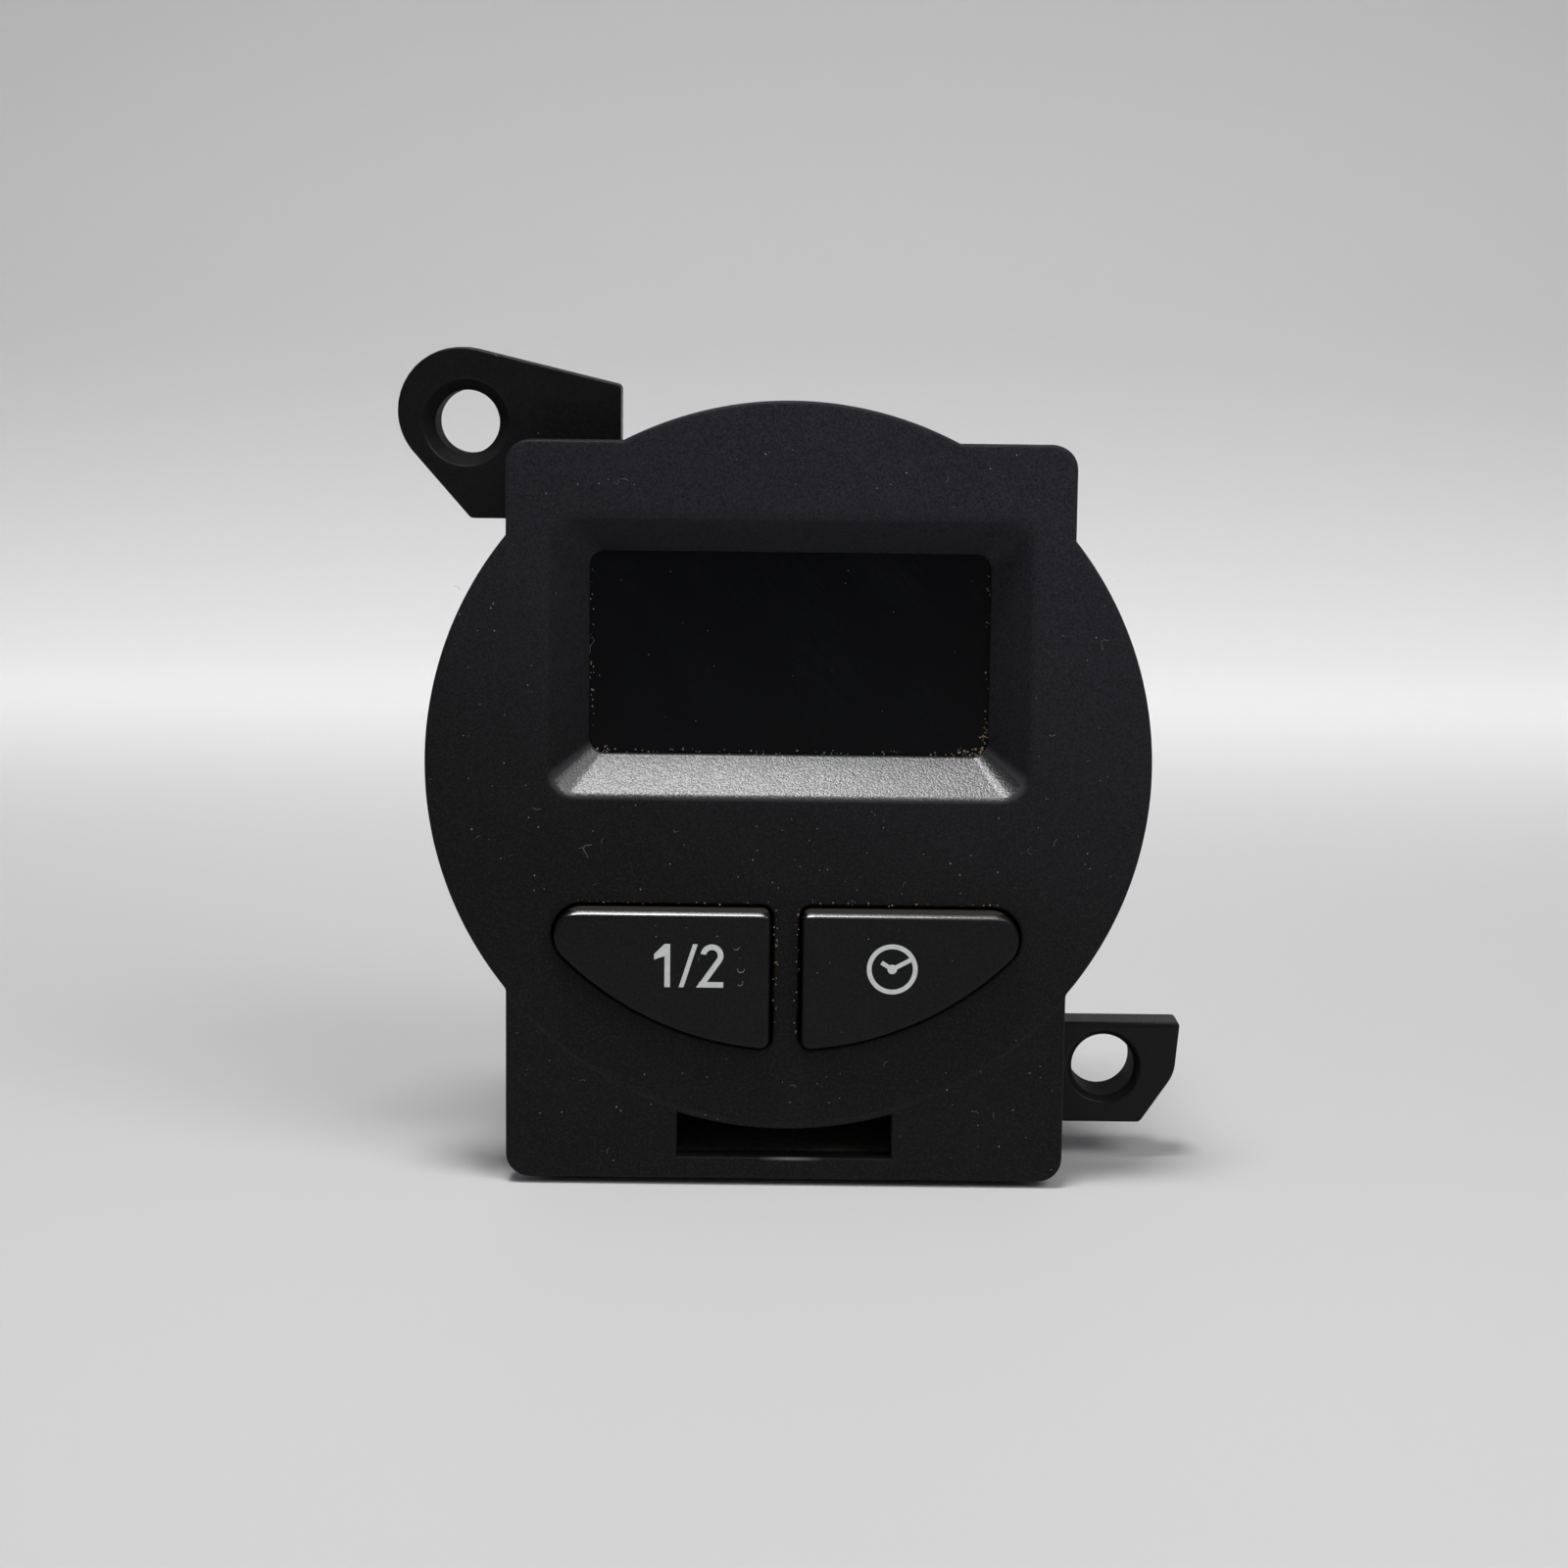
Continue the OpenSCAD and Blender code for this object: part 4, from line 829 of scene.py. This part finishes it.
snap_arm = np.array([(-1.35, 2.1), (-0.15, 2.1), (-0.15, 5.6), (1.0, 5.6), (1.0, 6.0),
                     (-0.15, 7.4), (-1.35, 7.4)])
for side in (-1, 1):
    for to in (lambda u, v, w: (side * (housing_half - housing_wall + u), v, side_snap_z + w),
               lambda u, v, w: (side * end_snap_x + w, v, housing_top - housing_wall + u),
               lambda u, v, w: (side * end_snap_x + w, v, housing_foot + housing_wall - u)):
        add_bar(bezel, snap_arm, -snap_half, snap_half, to)


def grained_face(name, colour, roughness, specular, grain, depth):
    """The face's black plastic with its grain, scuffed here and there."""
    look = Look(name, colour, roughness, specular, cloud=11, share=0.35, gloss=0.05, grain=grain, depth=depth,
                detail=3.0)
    look.scuff(0.17, colour, 3.4, roughness + 0.12)
    look.lay(look.specks(0.9, 0.12, 0.16), (0.14, 0.13, 0.12), 0.9)
    return look


look = face_plastic = grained_face("face_plastic", face_black, 0.46, 0.12, 0.15, 0.035)
x, y, z = look.place_parts()
x, height = look.math("SUBTRACT", x, at_x(0)), look.math("SUBTRACT", z, at_z(0))
from_centre = look.math("SQRT", look.math("ADD", look.times(x, x), look.times(height, height)))
# The film mask is painted light: a patchy bluish grey, growing towards the top and the right, lightens the
# face where more light falls from above and from the right.
film = look.times(look.remap(look.math("ADD", height, look.times(x, 0.3)), -10 * mm, 24 * mm),
                  look.patches(0.5, 6.0, 0.3, 0.7, 0.7, 1.0, roughness=0.7),
                  look.patches(0.15, 3.0, 0.36, 0.66, 0.25, 1.12, roughness=0.6))
look.lay(film, painted_light_grey)

# A faint ring is rubbed into the plate where the disc's edge runs on below the buttons.
low_down = look.remap(height, -13 * mm, -17 * mm)
rub = look.times(look.remap(look.off(from_centre, (disc_r + 0.1) * mm), 0.22 * mm, 0.05 * mm), low_down,
                 look.patches(2.2, 4.0, 0.38, 0.62, 0.05, 0.30))
look.lay(rub, (0.024, 0.022, 0.021), 0.6)
look.bump(look.times(look.remap(from_centre, 26.25 * mm, 25.95 * mm), low_down), 0.008)

# Painted highlights: a lighter grey on the partly up-facing faces in the frame's lower corners
# stands in for the slope's shine fading round them, and a lighter, glossier streak on the middle
# of the slot's lower lip stands in for the lamp's reflection there.
painted_sheen_corners = look.times(look.under(look.math("ABSOLUTE", x), 17.6 * mm),
                       look.under(look.math("ABSOLUTE", height), 2.6 * mm))
look.lay(look.times(painted_sheen_corners, look.looks_up(0.10, 0.45)), (0.055, 0.054, 0.057), 0.4)
# A painted highlight: a lighter, glossier streak on the middle of the slot's lower lip, where the lamp
# reflects.
painted_lip_highlight = look.times(look.remap(look.off(x, 0.5 * mm), 0.3 * mm, 2.4 * mm, 1.0, 0.0),
                      look.remap(look.off(height, (slot_foot - 0.06) * mm), 0.16 * mm, 0.08 * mm),
                      look.remap(y, at_y(0.3), at_y(0.15)))
look.lay(painted_lip_highlight, (0.105, 0.10, 0.096), 0.4)
slope_plastic = grained_face("slope_plastic", slope_black, 0.32, 1.0, 0.17, 0.032)
bezel = paint(to_object(bezel, "face_plate"), face_plastic, slope_plastic)
for face in bezel.data.polygons:
    x, y, z = np.array(face.center / mm) - origin
    face.material_index = int(0 < y < slope_back and face.normal.z > 0.38
                              and abs(x) < (window_size[0] + mouth_grow[0]) / 2
                              and abs(z - window_z) < window_size[1] / 2 + 2.8)
place_piece(smooth(bezel), "case", "face_black", "bezel")

# Window
# The window is a pane of smoked acrylic behind the frame. It was polished, and wiping has left
# fine slanted scratches and a greasy haze on it.

smoke_black = (0.0016, 0.0018, 0.0024)
haze_slant, scratch_slant = radians(40), radians(42)

look = Look("window_acrylic", smoke_black, 0.16, 0.10, cloud=0, grain=0)
haze = look.patches(3.5, 4.0, 0.45, 0.8, 0, 0.6, roughness=0.6, stretch=(1, 1, 0.35), turn=(0, haze_slant, 0))
look.lay(haze, (0.0040, 0.0043, 0.0054), 0.30)
scratched = look.times(
    look.patches(0.12, 1.0, 0.60, 0.72, 0, 0.32, stretch=(1, 1, 0.04), turn=(0, scratch_slant, 0)),
    look.remap(look.place_parts()[0], at_x(-6), at_x(4), 0.25, 1.0), look.patches(4, 1.0, 0.4, 0.6))
look.lay(scratched, (0.0075, 0.0080, 0.0095), 0.4)
make_piece(solid(slab(window_rect(2.8, 2.8, 0.6), seat, pane_back, 0.3, 0.12)),
           "window_pane", look, "case", "window_smoke", "display_window")

# Buttons
# Each button is a half-moon cap in satin black plastic, open at the back, with a sloped upper
# edge, a rim that keeps it in its guide and a post that presses the key. The figures and the
# clock are printed in light grey. Brown dust lies on the slopes, and thumbs have polished the fold.

button_front, rim_front, rim_back, post_back, cavity_front = -1.1, 4.9, 5.6, 8.0, 0.3
rim_reach, cap_wall, key_post_r, ink_proud = 0.7, 0.9, 1.8, 0.012
slope_start, fold_half = -10.7, 0.14
cap_black = (0.0031, 0.0030, 0.0034)
print_grey = (0.62, 0.63, 0.62)

look = cap_plastic = Look("cap_plastic", cap_black, 0.36, 0.17, grain=0.13, depth=0.008)
look.scuff(0.2, cap_black, 2.6, 0.5)
x, y, z = look.place_parts()
look.lay(look.times(look.remap(z, at_z(slope_start + 0.24), at_z(slope_start + 0.32)),
                    look.remap(y, at_y(1.6), at_y(0.6)),
                    look.patches(0.4, 5.0, 0.3, 0.6, 0.75, 1.0, roughness=0.7)), (0.026, 0.0215, 0.018), 0.85)
look.lay(look.specks(0.9, 0.10, 0.10), (0.25, 0.24, 0.22), 0.9)
polished_fold = Look("polished_fold", cap_black, 0.20, 0.85, cloud=2, share=0.2, gloss=0.06, grain=0.2,
                     depth=0.003)
print_paint = Look("print_paint", print_grey, 0.5, cloud=0.4, share=-0.15, gloss=0.1, grain=0.08)

for side, name in ((-1, "left"), (1, "right")):
    front = button_front + ink_proud
    cap = solid(softened([(half_moon(grow, side), depth) for grow, depth in (
        (-1.0, front), (0, front), (0, rim_front), (rim_reach, rim_front), (rim_reach, rim_back),
        (-cap_wall, rim_back), (-cap_wall, cavity_front))], 0.42, 0, 0.1, 0.1, 0, steps=6))
    for level in (-fold_half, -fold_half / 2, 0, fold_half / 2, fold_half, 0.3):
        bmesh.ops.bisect_plane(cap, geom=cap.verts[:] + cap.edges[:] + cap.faces[:], dist=1e-8,
                               plane_co=(0, 0, at_z(slope_start + level)), plane_no=(0, 0, 1))
    for vert in cap.verts:
        above = vert.co.z / mm - centre_z - slope_start
        ramp = (0.0 if above < -fold_half else above if above > fold_half
                else (above + fold_half) ** 2 / (4 * fold_half))
        share = min(1, max(0, (0.9 - (vert.co.y / mm - face_y - button_front)) / 0.5))
        vert.co.y += ramp * share * mm
    post = circle(key_post_r, (side * key_x, key_z), 32)
    add_solid(cap, softened([(post, cavity_front - 0.1), (post, post_back),
                             (grown(post, -0.4), post_back)], 0.2))
    cap = paint(to_object(cap, name + "_cap"), cap_plastic, polished_fold)
    for face in cap.data.polygons:
        x, y, z = np.array(face.center / mm) - origin
        face.material_index = int(0 < z - slope_start < 0.3 and y < button_front + 0.5)
    place_piece(smooth(cap), name + "_button", "button_black", name + "_button_cap")
    print_paint.coat(name + "_symbol")

# Dirt
# Years on a shelf have left crumbs in the corners of the frame and along the buttons, dust on the
# face, and some bent fibres of lint. Each group lies loose on the piece that carries it.

every_way, in_its_plane = (6.28, 6.28, 6.28), (0.0, 6.28, 0.0)

scatter_tree, given, output = new_tree(
    "pieces_scattered", Density="Float", Smallest="Float", Largest="Float", Turn="Vector", Seed="Int")
spots = add(scatter_tree, "GeometryNodeDistributePointsOnFaces", Mesh=given["Geometry"],
            Density=given["Density"], Seed=given["Seed"])
turns = add(scatter_tree, "FunctionNodeRandomValue", {"data_type": "FLOAT_VECTOR"},
            {0: (0, 0, 0), 1: given["Turn"], 8: given["Seed"]})
sizes = add(scatter_tree, "FunctionNodeRandomValue", {"data_type": "FLOAT"},
            {2: given["Smallest"], 3: given["Largest"], 8: given["Seed"]})
end_tree(scatter_tree, given, output, spots.outputs["Points"], Rotation=turns.outputs[0],
         Scale=sizes.outputs[1])


def strewn(name, body, slot, one, look, density, sizes, turn, seed, patches):
    """Strews a piece over patches (left, right, foot, top, depth) in mm; density is per sq mm."""
    ground = bmesh.new()
    for left, right, foot, top, depth in patches:
        corners = np.array([(left, foot), (right, foot), (right, top), (left, top)])
        ground.faces.new([ground.verts.new(place) for place in ring(corners, depth)])
    piece = grow(scatter_tree, ground, name, look, Density=density / mm ** 2, Smallest=sizes[0],
                 Largest=sizes[1], Turn=turn, Seed=seed, Piece=one)
    return place_piece(smooth(piece, 80), body, slot)


def add_thread(mesh, path, radius):
    """Adds a three-sided thread along a path of (x, y, z) points in metres."""
    ways = np.gradient(path, axis=0)
    across = np.column_stack((-ways[:, 2], 0 * ways[:, 1], ways[:, 0]))
    across *= radius / np.linalg.norm(across, axis=1)[:, None]
    depth = np.array((0, radius, 0))
    rows = [[mesh.verts.new(place + share * side + tall * depth)
             for share, tall in ((1, 0), (-1, 0), (0, -1.5))] for place, side in zip(path, across)]
    for a, b in zip(rows, rows[1:]):
        for k in range(3):
            mesh.faces.new((a[k - 1], a[k], b[k], b[k - 1]))
    for end in (rows[0], rows[-1]):
        mesh.faces.new(end)


def bent(length, bend, wave):
    """The path of a fibre that lies flat, bent through an angle and a little wavy."""
    share = np.linspace(-0.5, 0.5, 9)
    heading = np.radians(bend) * share + wave * np.sin(9 * share)
    steps = length / 8 * np.column_stack((np.cos(heading), 0 * heading, np.sin(heading)))
    return np.cumsum(steps, axis=0) - steps.sum(axis=0) / 2


def fibre(name, length, bend, wave, radius):
    """One fibre for strewing, with its length and radius in mm."""
    mesh = bmesh.new()
    add_thread(mesh, bent(length * mm, bend, wave), radius * mm)
    return to_object(mesh, name)


pale_dust, brown_dust = (
    Look(name, colour, 0.9, 0.2, cloud=cloud, share=-0.5, gloss=0.05, grain=0.03, depth=0.004)
    for name, colour, cloud in (("pale_dust", (0.34, 0.33, 0.31), 1.5),
                                ("brown_dust", (0.34, 0.27, 0.19), 0.6)))
crumb = bmesh.new()
bmesh.ops.create_icosphere(crumb, subdivisions=1, radius=0.5 * mm)
for k, vert in enumerate(crumb.verts):
    vert.co *= 1 + 0.3 * sin(5 * k)
crumb = to_object(crumb, "crumb")
short_fibre = fibre("short_fibre", 0.7, 70, 0.2, 0.009)
long_fibre = fibre("long_fibre", 1.7, 150, 0.5, 0.010)

face_patches = [(-18, 18, 18.3, 22.6, -0.01), (-24, -17.8, -9, 15, -0.01), (17.8, 24, -9, 15, -0.01),
                (-19, 19, -9.8, -2.8, -0.01), (-19.5, -8.2, -29.3, -21.3, -0.01),
                (8.2, 19.5, -29.3, -21.3, -0.01), (-8, 8, -25.8, -21.3, -0.01)]
well_patches = [(-15.5, -1.3, -9.98, -9.75, 0), (1.3, 15.5, -9.98, -9.75, 0),
                (-0.95, -0.6, -19.5, -10.1, 0), (0.6, 0.95, -19.5, -10.1, 0)]
glass, corner = seat - 0.02, window_size[0] / 2
low_edge, high_edge = window_z - window_size[1] / 2, window_z + window_size[1] / 2
edge_patches = [(-corner, corner, low_edge, low_edge + 0.35, glass),
                (-corner, -corner + 0.3, low_edge, high_edge, glass),
                (corner - 0.25, corner, low_edge, high_edge, glass)]
corner_patches = [(corner - 2.2, corner - 0.2, low_edge + 0.05, low_edge + 0.6, glass),
                  (corner - 0.6, corner, low_edge + 0.3, low_edge + 1.8, glass),
                  (-corner + 0.2, -corner + 1.4, low_edge + 0.05, low_edge + 0.5, glass)]
for name, slot, one, look, density, span_of_sizes, turn, seed, patches in (
        ("face_dust", "face_black", crumb, pale_dust, 0.15, (0.03, 0.11), every_way, 3, face_patches),
        ("face_lint", "face_black", short_fibre, pale_dust, 0.024, (0.3, 0.9), in_its_plane, 5, face_patches),
        ("face_long_lint", "face_black", long_fibre, pale_dust, 0.006, (0.4, 0.9), in_its_plane, 8,
         face_patches),
        ("window_crumbs", "window_smoke", crumb, brown_dust, 6.0, (0.05, 0.16), every_way, 11, edge_patches),
        ("corner_crumbs", "window_smoke", crumb, brown_dust, 18.0, (0.06, 0.22), every_way, 13,
         corner_patches),
        ("window_dust", "window_smoke", crumb, pale_dust, 0.04, (0.03, 0.08), every_way, 17,
         [(-corner, corner, low_edge, high_edge, glass)]),
        ("well_crumbs", "face_black", crumb, brown_dust, 6.5, (0.04, 0.14), every_way, 19, well_patches)):
    strewn(name, "case", slot, one, look, density, span_of_sizes, turn, seed, patches)
for side, left, right in (("left", -13, -2.2), ("right", 2.2, 13)):
    cap_patches = [(left, right, -14.5, -11.3, button_front)]
    for kind, one, density, span_of_sizes, turn in (("dust", crumb, 0.16, (0.03, 0.10), every_way),
                                                    ("lint", short_fibre, 0.05, (0.4, 1.0), in_its_plane)):
        strewn(f"{side}_cap_{kind}", side + "_button", "button_black", one, pale_dust, density,
               span_of_sizes, turn, 23, cap_patches)
for one in (crumb, short_fibre, long_fibre):
    bpy.data.objects.remove(one)

# Three curled bits of lint lie one above the other beside the figures.
curls = bmesh.new()
for x, z, length, bend, turn in ((-3.6, -12.9, 0.55, 120, 0.2), (-3.2, -14.35, 0.9, 200, -0.3),
                                 (-3.3, -15.45, 0.6, 160, 0.5)):
    path = bent(length * mm, bend, 0.1) @ np.array(Matrix.Rotation(turn, 3, "Y"))
    add_thread(curls, path + (np.array((x, button_front, z)) + origin) * mm, 0.016 * mm)
make_piece(curls, "left_cap_curls", pale_dust, "left_button", "button_black")

# One longer fibre has curled up at the left edge of the window.
curl = np.array([(-14.9, 2.6, 8.5), (-14.6, 2.9, 8.2), (-14.3, 3.3, 8.3), (-14.1, 3.3, 8.6),
                 (-14.2, 3.3, 8.9), (-14.45, 3.2, 8.8), (-14.5, 3.2, 8.5), (-14.35, 3.3, 8.1),
                 (-14.4, 3.3, 7.7)])
long_curl = bmesh.new()
add_thread(long_curl, (curl + origin) * mm, 0.014 * mm)
make_piece(long_curl, "window_fibre", pale_dust, "case", "window_smoke")

# Stage
# A pale, plain floor curves up behind the part. One soft lamp with a grid hangs above it and a weak
# one stands in front. Two more light the backdrop and a band of the floor behind the part. The
# camera stands where the photograph was taken from.

floor_half, floor_near, bend_start, bend_r, wall_top = 1.2, -0.9, 0.35, 0.3, 1.2
profile = [(floor_near, 0), (-0.2, 0), (bend_start, 0)]
profile += [(bend_start + bend_r * sin(radians(4.5 * i)), bend_r - bend_r * cos(radians(4.5 * i)))
            for i in range(1, 21)]
profile += [(bend_start + bend_r, 0.6), (bend_start + bend_r, wall_top)]
floor_data = bpy.data.meshes.new("floor")
floor_data.from_pydata([(x, y, z) for y, z in profile for x in (-floor_half, floor_half)], [],
                       [(k, k + 1, k + 3, k + 2) for k in range(0, 2 * len(profile) - 2, 2)])
floor_data.shade_smooth()
floor = paint(new_object("floor", floor_data),
              Look("floor_paper", (0.66, 0.65, 0.645), 0.6, 0.2, cloud=0, grain=0))

world = bpy.data.worlds.new("studio")
bpy.context.scene.world = world
world.use_nodes = True
sky = world.node_tree.nodes["Background"].inputs
sky["Color"].default_value, sky["Strength"].default_value = (0.84, 0.88, 0.95, 1), 0.215

for name, place, aim, size, power, spread in (
        ("overhead", (-0.045, -0.10, 0.45), (0, 0.03, 0), (0.12, 0.13), 0.59, 120),
        ("front", (0.28, -0.36, 0.42), (0, 0, 0.03), (0.32, 0.32), 1.38, 180),
        ("backdrop", (0.0, 0.34, 0.45), (0, 0.52, 0.08), (0.8, 0.12), 0.43, 95),
        ("floor_band", (0.0, 0.30, 0.32), (0, 0.30, 0), (0.8, 0.06), 0.47, 85)):
    data = bpy.data.lights.new(name, "AREA")
    data.shape, data.size, data.size_y, data.energy = "RECTANGLE", *size, power
    data.spread = radians(spread)
    lamp = new_object(name, data)
    lamp.location = place
    lamp.rotation_mode = "QUATERNION"
    lamp.rotation_quaternion = (Vector(aim) - Vector(place)).to_track_quat("-Z", "Y")

pitch, yaw, roll = radians(8.0), radians(0.16), radians(-0.68)
focal_px, photo_px, sensor, distance = 3241, 1600, 36, 226.9 * mm
look_at = Vector((face_x - 0.30, face_y, centre_z - 1.17)) * mm
forward = Vector((sin(yaw) * cos(pitch), cos(yaw) * cos(pitch), -sin(pitch)))
level = Vector((cos(yaw), -sin(yaw), 0))
down = forward.cross(level)
right = cos(roll) * level + sin(roll) * down
down = -sin(roll) * level + cos(roll) * down
camera_data = bpy.data.cameras.new("camera")
camera_data.sensor_width, camera_data.lens = sensor, focal_px / photo_px * sensor
camera_data.clip_start, camera_data.clip_end = 0.01, 20
camera = new_object("camera", camera_data)
camera.matrix_world = (Matrix.Translation(look_at - forward * distance)
                       @ Matrix((right, -down, -forward)).transposed().to_4x4())
bpy.context.scene.camera = camera
bpy.context.scene.view_settings.view_transform = "Standard"
